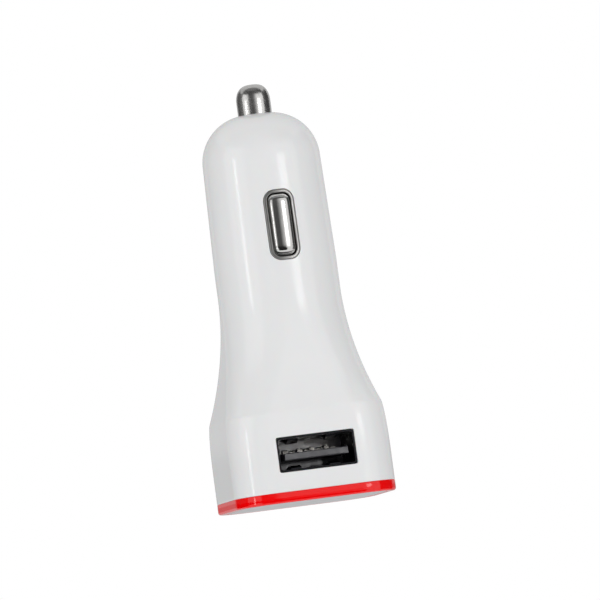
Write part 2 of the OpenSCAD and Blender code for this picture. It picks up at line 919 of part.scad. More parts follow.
// Winding between the core's flanges, with the round backs of its outer turns
module inductor_winding() {
    turns = 7;
    steps = 4;
    inner = core_neck_r + solder_gap;
    outer = core_d / 2 - 0.5;
    low = core_flange_t + solder_gap;
    pitch = (core_h - 2 * low) / turns;
    backs = [
        for (k = [0:turns - 1])
            for (i = [0:steps])
                let (a = -75 + 150 * i / steps)
                [outer - pitch / 2 + pitch / 2 * cos(a), low + pitch * (k + 0.5) + pitch / 2 * sin(a)]
    ];
    color("chocolate")
        on_back(0, inductor_z)
            rotate_extrude($fn = 64)
                polygon(concat([[inner, low]], backs, [[inner, core_h - low]]));
}

// Capacitor can with its crimped groove and rounded rims
module can(length) {
    r = cap_d / 2;
    rim = 0.35;
    groove = 0.35;
    groove_at = 1.4;
    rotate_extrude($fn = 48)
        polygon([
            [0, 0], [r - rim, 0], [r, rim], [r, groove_at - groove], [r - groove, groove_at],
            [r, groove_at + groove], [r, length - rim], [r - rim, length], [0, length]
        ]);
}

// The input capacitor lies along the board in the barrel
module input_capacitor() {
    color("navy")
        translate([0, board_y - solder_gap - cap_d / 2, input_cap_z])
            can(input_cap_l);
}

base_t = 0.8;

module output_capacitor() {
    color("silver")
        on_front(0, output_cap_z)
            translate([0, 0, base_t])
                can(output_cap_l - base_t);
}

module capacitor_base() {
    half = cap_d / 2 + 0.1;
    color("black")
        on_front(0, output_cap_z)
            linear_extrude(base_t)
                polygon([
                    [-half, -half], [half - 1, -half], [half, 1 - half], [half, half - 1], [half - 1, half],
                    [-half, half]
                ]);
}

module converter_chip() {
    color("black")
        on_back(0, chip_z)
            translate([-chip_w / 2, -chip_l / 2, 0.15])
                cube([chip_w, chip_l, chip_t]);
}

// Gull wing leads, four a side
module chip_leads() {
    lead_w = 0.42;
    lead_t = 0.2;
    reach = 1;
    mid = 0.15 + chip_t / 2;
    inner = chip_w / 2;
    color("silver")
        on_back(0, chip_z)
            for (side = [0, 180])
                rotate([0, 0, side])
                    for (k = [-1.5:1:1.5])
                        translate([inner, k * lead_pitch + lead_w / 2, 0])
                            rotate([90, 0, 0])
                                linear_extrude(lead_w)
                                    polygon([
                                        [0, mid], [0.35 * reach, mid], [0.55 * reach, lead_t],
                                        [reach, lead_t], [reach, 0], [0.45 * reach, 0],
                                        [0.3 * reach, mid - lead_t], [0, mid - lead_t]
                                    ]);
}

// A chip part: a body with a raised terminal at each end
module chip_part(l, w, t, end) {
    union() {
        translate([-l / 2 + end / 2, -w / 2 + 0.05, 0.05])
            cube([l - end, w - 0.1, t - 0.1]);
        for (x = [-l / 2, l / 2 - end])
            translate([x, -w / 2, 0])
                cube([end, w, t]);
    }
}

module diode() {
    color("black")
        on_back(0, diode_z)
            union() {
                translate([-diode_l / 2, -diode_w / 2, 0.1])
                    cube([diode_l, diode_w, diode_t]);
                for (side = [-1, 1])
                    translate([side * diode_l / 2 - 0.45, -0.7, 0])
                        cube([0.9, 1.4, 0.6]);
            }
}

module fuse() {
    color("beige")
        on_back(0, fuse_z)
            chip_part(fuse_l, fuse_w, fuse_t, fuse_end);
}

module ceramic_capacitors() {
    color("tan")
        union() {
            for (side = [-1, 1])
                on_back(side * small_x, chip_z + side * (chip_l / 2 + small_gap + small_w / 2))
                    chip_part(small_l, small_w, small_t, small_end);
            for (side = [-1, 1])
                on_front(side * large_x, chip_z)
                    chip_part(large_l, large_w, large_t, large_end);
        }
}

module chip_resistors() {
    color("black")
        union() {
            for (side = [-1, 1])
                on_front(side * (board_head - 1.8 * small_l), head_board_z - small_l)
                    chip_part(small_l, small_w, resistor_t, small_end);
            for (side = [-1, 1])
                on_front(side * resistor_x, chip_z + resistor_rise)
                    chip_part(small_l, small_w, resistor_t, small_end);
        }
}

// Light-emitting diode at the board's lower corner, which lights the ring
module led(x) {
    color("red")
        on_front(x, led_z)
            union() {
                translate([-led_w / 2, -0.8, 0])
                    cube([led_w, 1.6, 0.8]);
                translate([0, 0, 0.8])
                    rotate_extrude($fn = 32)
                        polygon(concat(
                            [[0, -0.1], [0.7, -0.1]],
                            [for (i = [0:5]) [0.7 * cos(17 * i), 0.6 * sin(17 * i)]],
                            [[0, 0.6]]
                        ));
            }
}

module led_left() {
    led(-led_x);
}

module led_right() {
    led(led_x);
}

housing();
light_ring();
end_cap();
tip_contact();
tip_spring();
tip_terminal();
spring_seat();
bezel_front();
bezel_rear();
ground_contact_front();
ground_contact_rear();
ground_band();
circuit_board();
usb_shell();
usb_insulator();
usb_pin_1();
usb_pin_2();
usb_pin_3();
usb_pin_4();
inductor_core();
inductor_winding();
input_capacitor();
output_capacitor();
capacitor_base();
converter_chip();
chip_leads();
diode();
fuse();
ceramic_capacitors();
chip_resistors();
led_left();
led_right();
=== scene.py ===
"""Looks of a car USB charger plug: a white moulded socket plug with a red ring round its head."""

import json
import logging
import math
from dataclasses import dataclass, field
from enum import Enum

import bmesh
import bpy
import numpy as np
from mathutils import Matrix, Vector

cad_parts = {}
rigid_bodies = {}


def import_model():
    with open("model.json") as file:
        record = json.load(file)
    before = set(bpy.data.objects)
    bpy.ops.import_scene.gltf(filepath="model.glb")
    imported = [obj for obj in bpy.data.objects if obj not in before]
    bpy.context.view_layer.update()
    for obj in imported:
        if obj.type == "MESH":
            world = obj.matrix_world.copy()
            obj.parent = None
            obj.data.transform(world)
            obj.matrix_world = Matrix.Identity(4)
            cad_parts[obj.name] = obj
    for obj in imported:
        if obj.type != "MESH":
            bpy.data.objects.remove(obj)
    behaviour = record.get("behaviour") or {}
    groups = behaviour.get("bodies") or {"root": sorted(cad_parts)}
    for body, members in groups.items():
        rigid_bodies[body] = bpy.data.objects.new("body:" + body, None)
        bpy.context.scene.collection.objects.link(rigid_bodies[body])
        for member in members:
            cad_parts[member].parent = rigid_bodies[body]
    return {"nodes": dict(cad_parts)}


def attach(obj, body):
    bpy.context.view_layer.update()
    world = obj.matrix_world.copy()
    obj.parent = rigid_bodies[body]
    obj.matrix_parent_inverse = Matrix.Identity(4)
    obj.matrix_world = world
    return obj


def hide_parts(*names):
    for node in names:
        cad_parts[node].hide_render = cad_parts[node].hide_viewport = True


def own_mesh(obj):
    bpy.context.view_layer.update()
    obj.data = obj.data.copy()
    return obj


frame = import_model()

LOG = logging.getLogger("charger_plug")
MM = 0.001
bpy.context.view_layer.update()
MERGE_MM = 0.0004
MIDDLE_MM = 36.0
EDGE_LIMIT_DEG = 35.0


# Colour and node helpers


def linear(hex_colour: str) -> tuple[float, float, float, float]:
    """Turns an sRGB hex colour into linear light.

    Formula: below 0.04045 a channel is divided by 12.92, above it is ((c + 0.055) / 1.055) to the power 2.4.

    Args:
        hex_colour: the colour as "#RRGGBB".

    Returns:
        Red, green, blue and an alpha of 1, in linear light.
    """
    channels = np.array([int(hex_colour[i:i + 2], 16) for i in (1, 3, 5)]) / 255
    light = np.where(channels <= 0.04045, channels / 12.92, ((channels + 0.055) / 1.055) ** 2.4)
    return (*light.tolist(), 1.0)


def add_node(tree: bpy.types.NodeTree, kind: str, links: dict | None = None, **settings) -> bpy.types.Node:
    """Adds a node to a tree, with its settings and the links into it.

    Args:
        tree: the node tree.
        kind: the node's type name.
        links: input socket name or index to the output socket that feeds it.
        settings: attributes of the node, or input values where the key starts with "in_" and a number or,
            with underscores for spaces, the socket's name.

    Returns:
        The new node.
    """
    node = tree.nodes.new(kind)
    for key, value in settings.items():
        if key.startswith("in_"):
            socket = key[3:]
            node.inputs[int(socket) if socket.isdigit() else socket.replace("_", " ")].default_value = value
        else:
            setattr(node, key, value)
    for socket, source in (links or {}).items():
        tree.links.new(source, node.inputs[socket])
    return node


def blank_tree(owner: bpy.types.Material | bpy.types.World) -> bpy.types.NodeTree:
    """Turns on the nodes of a material or a world and clears them."""
    owner.use_nodes = True
    owner.node_tree.nodes.clear()
    return owner.node_tree


def object_place(tree: bpy.types.NodeTree) -> bpy.types.NodeSocket:
    """Adds object coordinates to a tree."""
    return add_node(tree, "ShaderNodeTexCoord").outputs["Object"]


# Surfaces as arrays of points


def turned(points: np.ndarray, spin: np.ndarray) -> np.ndarray:
    """Points of a plane, each turned about the origin by its own angle in radians."""
    x, y, cos, sin = points[:, 0], points[:, 1], np.cos(spin), np.sin(spin)
    return np.stack([x * cos - y * sin, x * sin + y * cos], 1)


@dataclass
class Loop:
    """A rounded rectangle in a plane, as base points on its inner rectangle and outward normals.

    A point of the outline grown by d lies at base + normal * (radius + d), so growing keeps the same points.

    Attributes:
        half_w: half the width.
        half_h: half the height.
        radius: corner radius.
        count: number of points, spread evenly along the outline.
    """

    half_w: float
    half_h: float
    radius: float
    count: int
    base: np.ndarray = field(init=False)
    normal: np.ndarray = field(init=False)

    def __post_init__(self) -> None:
        """Spreads the points by arc length: a quarter is half a side, a quarter circle, and half a side."""
        flat_w, flat_h = self.half_w - self.radius, self.half_h - self.radius
        bend = math.pi * self.radius / 2
        quarter = flat_w + bend + flat_h
        s = (np.arange(self.count) + 0.5) / self.count * 4
        turn, along = np.floor(s).astype(int), (s % 1) * quarter
        odd = turn % 2 == 1
        first = np.where(odd, flat_h, flat_w)
        angle = np.clip((along - first) / max(self.radius, 1e-9), 0, math.pi / 2)
        run = np.minimum(along, first)
        rise = np.maximum(along - first - bend, 0)
        last = np.where(odd, flat_w, flat_h)
        local = np.stack([run, rise - last], 1)
        direction = np.stack([np.sin(angle), -np.cos(angle)], 1)
        spin = turn * math.pi / 2
        self.base, self.normal = turned(local, spin), turned(direction, spin)

    def at(self, grow: np.ndarray | float = 0.0) -> np.ndarray:
        """Points of the outline grown by an amount, which is negative to shrink it."""
        return self.base + self.normal * (self.radius + grow)


class Surface:
    """Collects grids of points in millimetres and turns them into one closed mesh object."""

    def __init__(self) -> None:
        """Starts with no points."""
        self.points: list[np.ndarray] = []
        self.faces: list[np.ndarray] = []
        self.caps: list[list[int]] = []
        self.count = 0

    def add(self, points: np.ndarray, faces: np.ndarray) -> None:
        """Adds points and the faces that join them."""
        self.points.append(points.reshape(-1, 3))
        self.faces.append(faces + self.count)
        self.count += len(self.points[-1])

    def grid(self, points: np.ndarray, wrap_rows: bool = False, wrap_cols: bool = True,
             keep: np.ndarray | None = None) -> None:
        """Adds a grid of points as quads.

        Args:
            points: array of rows, columns and 3.
            wrap_rows: whether the last row joins the first.
            wrap_cols: whether the last column joins the first.
            keep: which cells are kept, an array of booleans, or None for all.
        """
        rows, cols = points.shape[:2]
        r = np.arange(rows if wrap_rows else rows - 1)
        c = np.arange(cols if wrap_cols else cols - 1)
        a, b = np.meshgrid(r, c, indexing="ij")
        a2, b2 = (a + 1) % rows, (b + 1) % cols
        quads = np.stack([a * cols + b, a * cols + b2, a2 * cols + b2, a2 * cols + b], -1)
        quads = quads.reshape(-1, 4) if keep is None else quads[keep]
        self.add(points, quads)

    def cap(self, ring: np.ndarray) -> None:
        """Closes a flat ring of points with one face."""
        start = self.count
        self.points.append(ring.reshape(-1, 3))
        self.count += len(ring)
        self.caps.append(list(range(start, self.count)))

    def prism(self, profile: np.ndarray, low: float, high: float) -> None:
        """Adds a closed bar along X between two ends, its profile given as y and z."""
        ends = np.array([low, high])[:, None, None]
        bar = np.concatenate([np.broadcast_to(ends, (2, len(profile), 1)),
                              np.broadcast_to(profile, (2, *profile.shape))], -1)
        self.grid(bar)
        self.cap(bar[0, ::-1])
        self.cap(bar[1])

    def build(self, name: str, crease_deg: float = 40.0) -> bpy.types.Object:
        """Makes the object: points merged, faces turned outwards, smooth with sharp edges past an angle.

        Args:
            name: the object's name.
            crease_deg: edges that bend more than this are drawn sharp.

        Returns:
            The object, at the origin, linked into the scene.
        """
        mesh = bpy.data.meshes.new(name)
        faces = [f for quads in self.faces for f in quads.tolist()] + self.caps
        mesh.from_pydata(np.concatenate(self.points) * MM, [], faces)
        work = bmesh.new()
        work.from_mesh(mesh)
        bmesh.ops.remove_doubles(work, verts=work.verts, dist=MERGE_MM * MM)
        bmesh.ops.dissolve_degenerate(work, edges=work.edges, dist=MERGE_MM * MM)
        open_edges = sum(not e.is_manifold for e in work.edges)
        if not open_edges:
            bmesh.ops.recalc_face_normals(work, faces=work.faces)
        limit = math.radians(crease_deg)
        for edge in work.edges:
            edge.smooth = edge.calc_face_angle(0.0) < limit
        work.to_mesh(mesh)
        work.free()
        mesh.polygons.foreach_set("use_smooth", np.ones(len(mesh.polygons), bool))
        mesh.update()
        piece = bpy.data.objects.new(name, mesh)
        bpy.context.scene.collection.objects.link(piece)
        LOG.info("%s: %d faces, %d open edges", name, len(mesh.polygons), open_edges)
        return piece


def lathe(profile: np.ndarray, count: int) -> np.ndarray:
    """Turns a profile of radius and height about the Z axis.

    Formula: x = r cos t, y = r sin t, z = height, with t evenly spread.

    Args:
        profile: array of radius and height.
        count: points round the axis.

    Returns:
        A grid of rows, columns and 3.
    """
    t = np.arange(count) * 2 * math.pi / count
    r, z = profile[:, :1], profile[:, 1:]
    return np.stack([r * np.cos(t), r * np.sin(t), np.broadcast_to(z, (len(profile), count))], -1)


def arc(cx: float, cy: float, radius: float, start_deg: float, end_deg: float, steps: int) -> np.ndarray:
    """Points along an arc: centre plus radius times the cosine and sine of evenly spread angles."""
    a = np.radians(np.linspace(start_deg, end_deg, steps + 1))
    return np.stack([cx + radius * np.cos(a), cy + radius * np.sin(a)], 1)


def ramp(start: float, end: float, step: float) -> np.ndarray:
    """Evenly spread values from start to just before end, about a step apart."""
    return np.linspace(start, end, max(1, round((end - start) / step)) + 1)[:-1]


def soft_min(a: np.ndarray, b: np.ndarray, blend: float) -> np.ndarray:
    """The smaller of two values, eased where they come close.

    Formula: the smaller one less the square of (blend - |a - b|) over 4 blends, where |a - b| is under the blend.

    Args:
        a: first values.
        b: second values.
        blend: the difference under which the easing starts.

    Returns:
        The eased smaller values.
    """
    return np.minimum(a, b) - np.maximum(blend - np.abs(a - b), 0) ** 2 / (4 * blend)


def direction(azimuth_deg: float, lift_deg: float) -> Vector:
    """Unit vector that points out at an azimuth, counted from the front, and a height over the horizon."""
    a, e = math.radians(azimuth_deg), math.radians(lift_deg)
    return Vector((math.sin(a) * math.cos(e), -math.cos(a) * math.cos(e), math.sin(e)))


# Finishes


class Pattern(Enum):
    """How a surface was made, which sets its relief."""

    MOULDED = "moulded"
    PLATED = "plated"
    BRUSHED = "brushed"
    WOVEN = "woven"
    WOUND = "wound"


@dataclass(frozen=True)
class Finish:
    """One real finish and the material that shows it.

    Attributes:
        name: the material's name.
        tone: main colour, sRGB hex.
        other: second colour of its slight variation, sRGB hex.
        patch_mm: size of the patches of variation.
        rough: lowest and highest roughness.
        grain_mm: size of the relief's grain.
        relief: strength of the relief, 0 to 1.
        relief_mm: height of the relief.
        pattern: how the surface was made.
        metallic: 1 for a metal.
        ior: index of refraction of a plastic.
        coat: weight of a clear top layer.
        scatter: weight of light scattered under the surface.
        scatter_mm: how far that light travels.
        through: weight of light let through.
    """

    name: str
    tone: str
    other: str
    patch_mm: float = 6.0
    rough: tuple[float, float] = (0.2, 0.3)
    grain_mm: float = 0.2
    relief: float = 0.1
    relief_mm: float = 0.01
    pattern: Pattern = Pattern.MOULDED
    metallic: float = 0.0
    ior: float = 1.5
    coat: float = 0.0
    scatter: float = 0.0
    scatter_mm: float = 0.5
    through: float = 0.0

    def relief_height(self, tree: bpy.types.NodeTree, place: bpy.types.NodeSocket) -> bpy.types.NodeSocket:
        """Adds the nodes of the relief and returns their height.

        Args:
            tree: the material's tree.
            place: object coordinates.

        Returns:
            The socket that holds the height.
        """
        per_m = 1 / (self.grain_mm * MM)
        if self.pattern is Pattern.BRUSHED:
            place = add_node(tree, "ShaderNodeMapping", {"Vector": place}, in_Scale=(1, 1, 0.06)).outputs[0]
        if self.pattern in (Pattern.WOVEN, Pattern.WOUND):
            wave = add_node(tree, "ShaderNodeTexWave", {"Vector": place}, in_Scale=per_m / 20,
                            in_Distortion=0.4, bands_direction="Z" if self.pattern is Pattern.WOVEN else "Y")
            return wave.outputs["Fac"]
        noise = add_node(tree, "ShaderNodeTexNoise", {"Vector": place}, in_Scale=per_m, in_Detail=3.0)
        return noise.outputs["Fac"]

    def material(self) -> bpy.types.Material:
        """Builds the material, or returns it where it was built before.

        Returns:
            The material.
        """
        known = bpy.data.materials.get(self.name)
        if known:
            return known
        made = bpy.data.materials.new(self.name)
        tree = blank_tree(made)
        place = object_place(tree)
        patches = add_node(tree, "ShaderNodeTexNoise", {"Vector": place}, in_Scale=1 / (self.patch_mm * MM),
                           in_Detail=2.0)
        tone = add_node(tree, "ShaderNodeMix", {"Factor": patches.outputs["Fac"]}, data_type="RGBA",
                        in_6=linear(self.tone), in_7=linear(self.other))
        rough = add_node(tree, "ShaderNodeMapRange", {"Value": patches.outputs["Fac"]},
                         in_From_Min=0.3, in_From_Max=0.7, in_To_Min=self.rough[0], in_To_Max=self.rough[1])
        bump = add_node(tree, "ShaderNodeBump", {"Height": self.relief_height(tree, place)},
                        in_Strength=self.relief, in_Distance=self.relief_mm * MM)
        shader = add_node(
            tree, "ShaderNodeBsdfPrincipled",
            {"Base Color": tone.outputs[2], "Roughness": rough.outputs[0], "Normal": bump.outputs[0]},
            in_Metallic=self.metallic, in_IOR=self.ior, in_Coat_Weight=self.coat,
            in_Subsurface_Weight=self.scatter, in_Subsurface_Scale=self.scatter_mm * MM,
            in_Transmission_Weight=self.through,
        )
        add_node(tree, "ShaderNodeOutputMaterial", {"Surface": shader.outputs[0]})
        return made


# Polished ABS moulding: a glossy white with soft, even light in it and a barely uneven skin from the mould
WHITE_ABS = Finish("gloss_white_abs", "#EAEAEA", "#E5E6E7", patch_mm=9, rough=(0.13, 0.17), grain_mm=2.5,
                   relief=0.08, relief_mm=0.02, scatter=0.12, scatter_mm=0.6)
# Tinted polycarbonate light guide: deep clear red that scatters light, under a glossy skin
RED_LIGHT_GUIDE = Finish("red_light_guide", "#F40206", "#EC0205", patch_mm=5, rough=(0.05, 0.08), grain_mm=2.0,
                         relief=0.06, relief_mm=0.02, scatter=0.25, scatter_mm=0.8)
# Satin grey ABS moulding: fine even spark-eroded texture that softens reflections
GREY_ABS = Finish("satin_grey_abs", "#C8C8CA", "#BEBEC1", patch_mm=4, rough=(0.3, 0.4), grain_mm=0.25,
                  relief=0.12, relief_mm=0.01)
# Bright nickel plate on pressed steel: mirror-like with faint waves from the press
NICKEL = Finish("bright_nickel_plate", "#D3D2D0", "#C5C4C2", patch_mm=2, rough=(0.12, 0.2), grain_mm=0.8,
                relief=0.08, relief_mm=0.01, pattern=Pattern.PLATED, metallic=1.0)
# Tumbled nickel plate of the turned contact: bright, with fine marks that break up its reflections
TUMBLED_NICKEL = Finish("tumbled_nickel_plate", "#DDDCDA", "#C9C8C6", patch_mm=0.6, rough=(0.16, 0.3), grain_mm=0.35,
                        relief=0.5, relief_mm=0.012, pattern=Pattern.PLATED, metallic=1.0)
# Dull nickel plate: the cut and tumbled rim of a pressed part, softer than the bright faces
DULL_NICKEL = Finish("dull_nickel_plate", "#BDBCBA", "#ABAAA8", patch_mm=1.5, rough=(0.3, 0.42), grain_mm=0.15,
                     relief=0.15, relief_mm=0.008, pattern=Pattern.PLATED, metallic=1.0)
# Plated steel sheet of the port's shell, coloured dark as painted shade of the port's mouth, with soft streaks from
# rolling
SHADED_PORT_SHEET = Finish("black_nickel_sheet", "#353538", "#2A2A2D", patch_mm=1.5, rough=(0.25, 0.36), grain_mm=0.12,
                      relief=0.12, relief_mm=0.006, pattern=Pattern.BRUSHED, metallic=1.0)
# Tin plated leads: greyish, with soft streaks from rolling
TIN_SHEET = Finish("tin_plated_sheet", "#B9B8B5", "#A3A29F", patch_mm=1.5, rough=(0.22, 0.34), grain_mm=0.12,
                   relief=0.12, relief_mm=0.006, pattern=Pattern.BRUSHED, metallic=1.0)
# Drawn spring wire: dark steel with lengthwise drawing marks
SPRING_WIRE = Finish("drawn_spring_wire", "#7F8083", "#6C6D70", patch_mm=1, rough=(0.25, 0.35), grain_mm=0.1,
                     relief=0.1, relief_mm=0.005, pattern=Pattern.BRUSHED, metallic=1.0)
# Stamped brass: warm yellow, slightly dulled
BRASS = Finish("stamped_brass", "#C9A45B", "#B48D45", patch_mm=2, rough=(0.25, 0.4), grain_mm=0.15, relief=0.1,
               relief_mm=0.006, pattern=Pattern.BRUSHED, metallic=1.0)
# Nickel silver contact strip with a bright rub track
PIN_PLATE = Finish("contact_strip_plate", "#ECE9E2", "#DEDAD2", patch_mm=0.8, rough=(0.2, 0.3), grain_mm=0.1,
                   relief=0.06, relief_mm=0.004, pattern=Pattern.PLATED, metallic=1.0)
# Glass-filled nylon: near black and matt, with short fibres that roughen the skin
BLACK_NYLON = Finish("black_filled_nylon", "#202023", "#313135", patch_mm=0.7, rough=(0.38, 0.55), grain_mm=0.12,
                     relief=0.25, relief_mm=0.012)
# Green solder mask over glass laminate: the weave shows faintly through the coat
SOLDER_MASK = Finish("solder_mask_laminate", "#14512B", "#0F4021", patch_mm=3, rough=(0.25, 0.35), grain_mm=0.5,
                     relief=0.15, relief_mm=0.01, pattern=Pattern.WOVEN, coat=0.3)
# Sintered ferrite: dark grey, dry and finely pitted
FERRITE = Finish("sintered_ferrite", "#3A3A3E", "#2C2C30", patch_mm=1, rough=(0.55, 0.7), grain_mm=0.1, relief=0.3,
                 relief_mm=0.015)
# Enamelled copper wire: red brown with a varnish gloss over its turns
COPPER_WINDING = Finish("enamelled_copper_winding", "#A2562B", "#8A4320", patch_mm=1, rough=(0.2, 0.32),
                        grain_mm=0.3, relief=0.3, relief_mm=0.03, pattern=Pattern.WOUND, metallic=0.8, coat=0.5)
# Drawn aluminium can: pale satin metal with lengthwise drawing lines
DRAWN_CAN = Finish("drawn_aluminium_can", "#C9CACC", "#B7B8BB", patch_mm=2, rough=(0.28, 0.38), grain_mm=0.1,
                   relief=0.1, relief_mm=0.005, pattern=Pattern.BRUSHED, metallic=1.0)
# Fired chip ceramic: tan and dry
CHIP_CERAMIC = Finish("fired_chip_ceramic", "#B79C74", "#A58A63", patch_mm=0.8, rough=(0.4, 0.55), grain_mm=0.08,
                      relief=0.2, relief_mm=0.006)


def dress(piece: bpy.types.Object, finish: Finish, slot: str, body: str, *nodes: str) -> bpy.types.Object:
    """Gives a new piece its material, the body it rides on and the solids it stands for.

    Args:
        piece: the finished piece.
        finish: what its surface is.
        slot: the record's material slot; not used.
        body: the body it moves with.
        nodes: the solids that it replaces.

    Returns:
        The piece.
    """
    piece.data.materials.append(finish.material())
    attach(piece, body)
    if nodes:
        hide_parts(*nodes)
    return piece


def dress_node(name: str, finish: Finish, edge_mm: float = 0.0) -> None:
    """Gives a solid that stays its material and, where asked, small rounded edges.

    Args:
        name: the solid's node.
        finish: what its surface is.
        edge_mm: width of the rounding on its edges, or 0 for none.
    """
    node = frame["nodes"][name]
    node.data.materials.clear()
    node.data.materials.append(finish.material())
    if edge_mm:
        weld = node.modifiers.new("weld", "WELD")
        weld.merge_threshold = MERGE_MM * MM
        bevel = node.modifiers.new("edge", "BEVEL")
        bevel.width = edge_mm * MM
        bevel.segments = 2
        bevel.limit_method = "ANGLE"
        bevel.angle_limit = math.radians(EDGE_LIMIT_DEG)
        bevel.harden_normals = True
    LOG.info("%s keeps its solid", name)


# The moulded housing


@dataclass
class Opening:
    """A rounded opening through the housing's wall, in millimetres.

    Attributes:
        width: width.
        height: height.
        radius: corner radius.
        z: height of its middle.
        edge: radius of the rounding on its outer edge.
        margin: how far the patch of skin round it reaches past its outline.
        rear: whether it is in the rear wall.
    """

    width: float
    height: float
    radius: float
    z: float
    edge: float
    margin: float
    rear: bool = False

    def outline(self, toward: np.ndarray) -> tuple[np.ndarray, np.ndarray]:
        """Finds where rays from the opening's middle meet its outline.

        Formula: the signed distance to a rounded rectangle is found along each ray, and halving steps find its zero.

        Args:
            toward: points in x and z that the rays pass through.

        Returns:
            Points on the outline and the outline's outward normals there.
        """
        centre = np.array([0.0, self.z])
        core = np.array([self.width / 2 - self.radius, self.height / 2 - self.radius])
        ray = toward - centre
        ray = ray / np.linalg.norm(ray, axis=1, keepdims=True)
        low, high = np.zeros(len(ray)), np.full(len(ray), self.width + self.height)
        for _ in range(48):
            middle = (low + high) / 2
            q = np.abs(ray * middle[:, None]) - core
            distance = (np.linalg.norm(np.maximum(q, 0), axis=1) + np.minimum(q.max(1), 0) - self.radius)
            low, high = np.where(distance < 0, middle, low), np.where(distance < 0, high, middle)
        local = ray * low[:, None]
        q = np.abs(local) - core
        corner = np.maximum(q, 0) / np.maximum(np.linalg.norm(np.maximum(q, 0), axis=1, keepdims=True), 1e-9)
        side = np.stack([q[:, 0] > q[:, 1], q[:, 0] <= q[:, 1]], 1).astype(float)
        normal = np.where((q > 0).all(1)[:, None], corner, side) * np.sign(local)
        return local + centre, normal


@dataclass
class Housing:
    """The one-piece white shell: round barrel and nose, flare, rounded square head. Millimetres.

    The attributes that aren't listed are the solid's own sizes.

    Attributes:
        shoulder_soft: softness of the crease between flare and head.
        lean_over: how far the head's lean goes on above the crease.
        flare_over: how far the flare goes on below it.
        reach_blend: width of the blend between their outlines.
        flat_blend: width of the blend between their flats.
        bore_ease: height over which the inside eases into the straight bore.
        columns: points round the shell.
        openings: the openings through its wall.
    """

    barrel_r: float = 10.25
    nose_start_r: float = 9.85
    nose_z: float = 65.4
    nose_round: float = 7.9
    flare_z: float = 35.0
    grip_l: float = 4.8
    wall: float = 1.6
    nose_wall: float = 1.8
    head_w: float = 27.284
    corner_r: float = 6.5
    shoulder_z: float = 15.0
    shoulder_lean: float = 0.36
    square_rate: float = 1.7
    lean_z: float = 4.0
    bottom_z: float = 1.75
    bottom_edge: float = 0.1
    shoulder_soft: float = 0.4
    lean_over: float = 1.2
    flare_over: float = 2.0
    reach_blend: float = 0.18
    flat_blend: float = 0.45
    bore_ease: float = 7.0
    nose_bore: float = 2.93
    bore_edge: float = 0.15
    ledge_z: float = 54.6
    ledge: float = 0.75
    pocket_r: float = 4.7
    columns: int = 256
    openings: tuple[Opening, ...] = (
        Opening(13.26, 5.86, 0.25, 7.9, 0.12, 1.3),
        Opening(5.2, 11.8, 1.9, 46.0, 0.12, 0.9),
        Opening(5.2, 11.8, 1.9, 46.0, 0.12, 0.9, rear=True),
    )

    def section(self, z: np.ndarray) -> tuple[np.ndarray, np.ndarray]:
        """Outer section at height z, up to the nose rounding.

        Formula: the head leans in with the fourth power of height, the flare is an arc that leaves the barrel
        upright, and the two meet in a soft minimum. The flat of a side grows with a power of the flare's depth.

        Args:
            z: heights.

        Returns:
            Half the straight length of a side, and the corner radius.
        """
        half = self.head_w / 2
        shoulder_half = half - self.shoulder_lean
        run, rise = self.flare_z - self.shoulder_z, shoulder_half - self.barrel_r
        radius = (run ** 2 + rise ** 2) / (2 * rise)
        head_z = np.minimum(z, self.shoulder_z + self.lean_over)
        climb = np.maximum(0, head_z - self.lean_z) / (self.shoulder_z - self.lean_z)
        head = half - self.shoulder_lean * climb ** 4
        down = np.clip(self.flare_z - z, 0, run + self.flare_over)
        flare = self.barrel_r + radius - np.sqrt(radius ** 2 - down ** 2)
        flat_head = head - self.corner_r
        flat_flare = (shoulder_half - self.corner_r) * (down / run) ** self.square_rate
        reach = soft_min(head, flare, self.reach_blend * self.shoulder_soft)
        flat = np.maximum(soft_min(flat_head, flat_flare, self.flat_blend * self.shoulder_soft), 0)
        taper = (z - self.flare_z - self.grip_l) / (self.nose_z - self.nose_round - self.flare_z - self.grip_l)
        taper = np.clip(taper, 0, 1) * (self.barrel_r - self.nose_start_r)
        return np.where(z > self.flare_z, 0, flat), np.where(z > self.flare_z, self.barrel_r - taper, reach - flat)

    def inner_section(self, z: np.ndarray) -> tuple[np.ndarray, np.ndarray]:
        """Inner section at height z: the outer one drawn in by the wall, easing into the straight bore."""
        flat, radius = self.section(z)
        bore = self.nose_start_r - self.wall
        ease = np.clip((z - self.flare_z + self.bore_ease) / self.bore_ease, 0, 1)
        ease = ease * ease * (3 - 2 * ease)
        spare = self.barrel_r - self.wall - bore
        return flat, np.where(z >= self.flare_z, bore, radius - self.wall - spare * ease)

    def rings(self, flat: np.ndarray, radius: np.ndarray, z: np.ndarray) -> np.ndarray:
        """Rows of points round rounded-square sections.

        Formula: each quarter is half a side, a quarter circle and half a side, and a point's share of the
        quarter's length is the same in every row. The first point lies just past the middle of the front.

        Args:
            flat: half the straight length of a side, for each row.
            radius: corner radius, for each row.
            z: height, for each row.

        Returns:
            A grid of rows, columns and 3.
        """
        flat, radius, z = (np.asarray(a, float)[:, None] for a in (flat, radius, z))
        share = (np.arange(self.columns) + 0.5) / self.columns * 4
        turn, part = np.floor(share), share % 1
        bend = math.pi * radius / 2
        along = part[None] * (2 * flat + bend)
        angle = np.clip((along - flat) / np.maximum(radius, 1e-9), 0, math.pi / 2)
        x = np.minimum(along, flat) + radius * np.sin(angle)
        y = -flat - radius * np.cos(angle) + np.maximum(along - flat - bend, 0)
        spin = turn * math.pi / 2
        return np.stack([
            x * np.cos(spin) - y * np.sin(spin), x * np.sin(spin) + y * np.cos(spin), np.broadcast_to(z, x.shape),
        ], -1)

    def foot_rings(self, profile: np.ndarray) -> np.ndarray:
        """Rows of points round the head's foot, from a profile of inset from its outline and height."""
        flat = np.full(len(profile), self.head_w / 2 - self.corner_r)
        return self.rings(flat, self.corner_r - profile[:, 0], profile[:, 1])

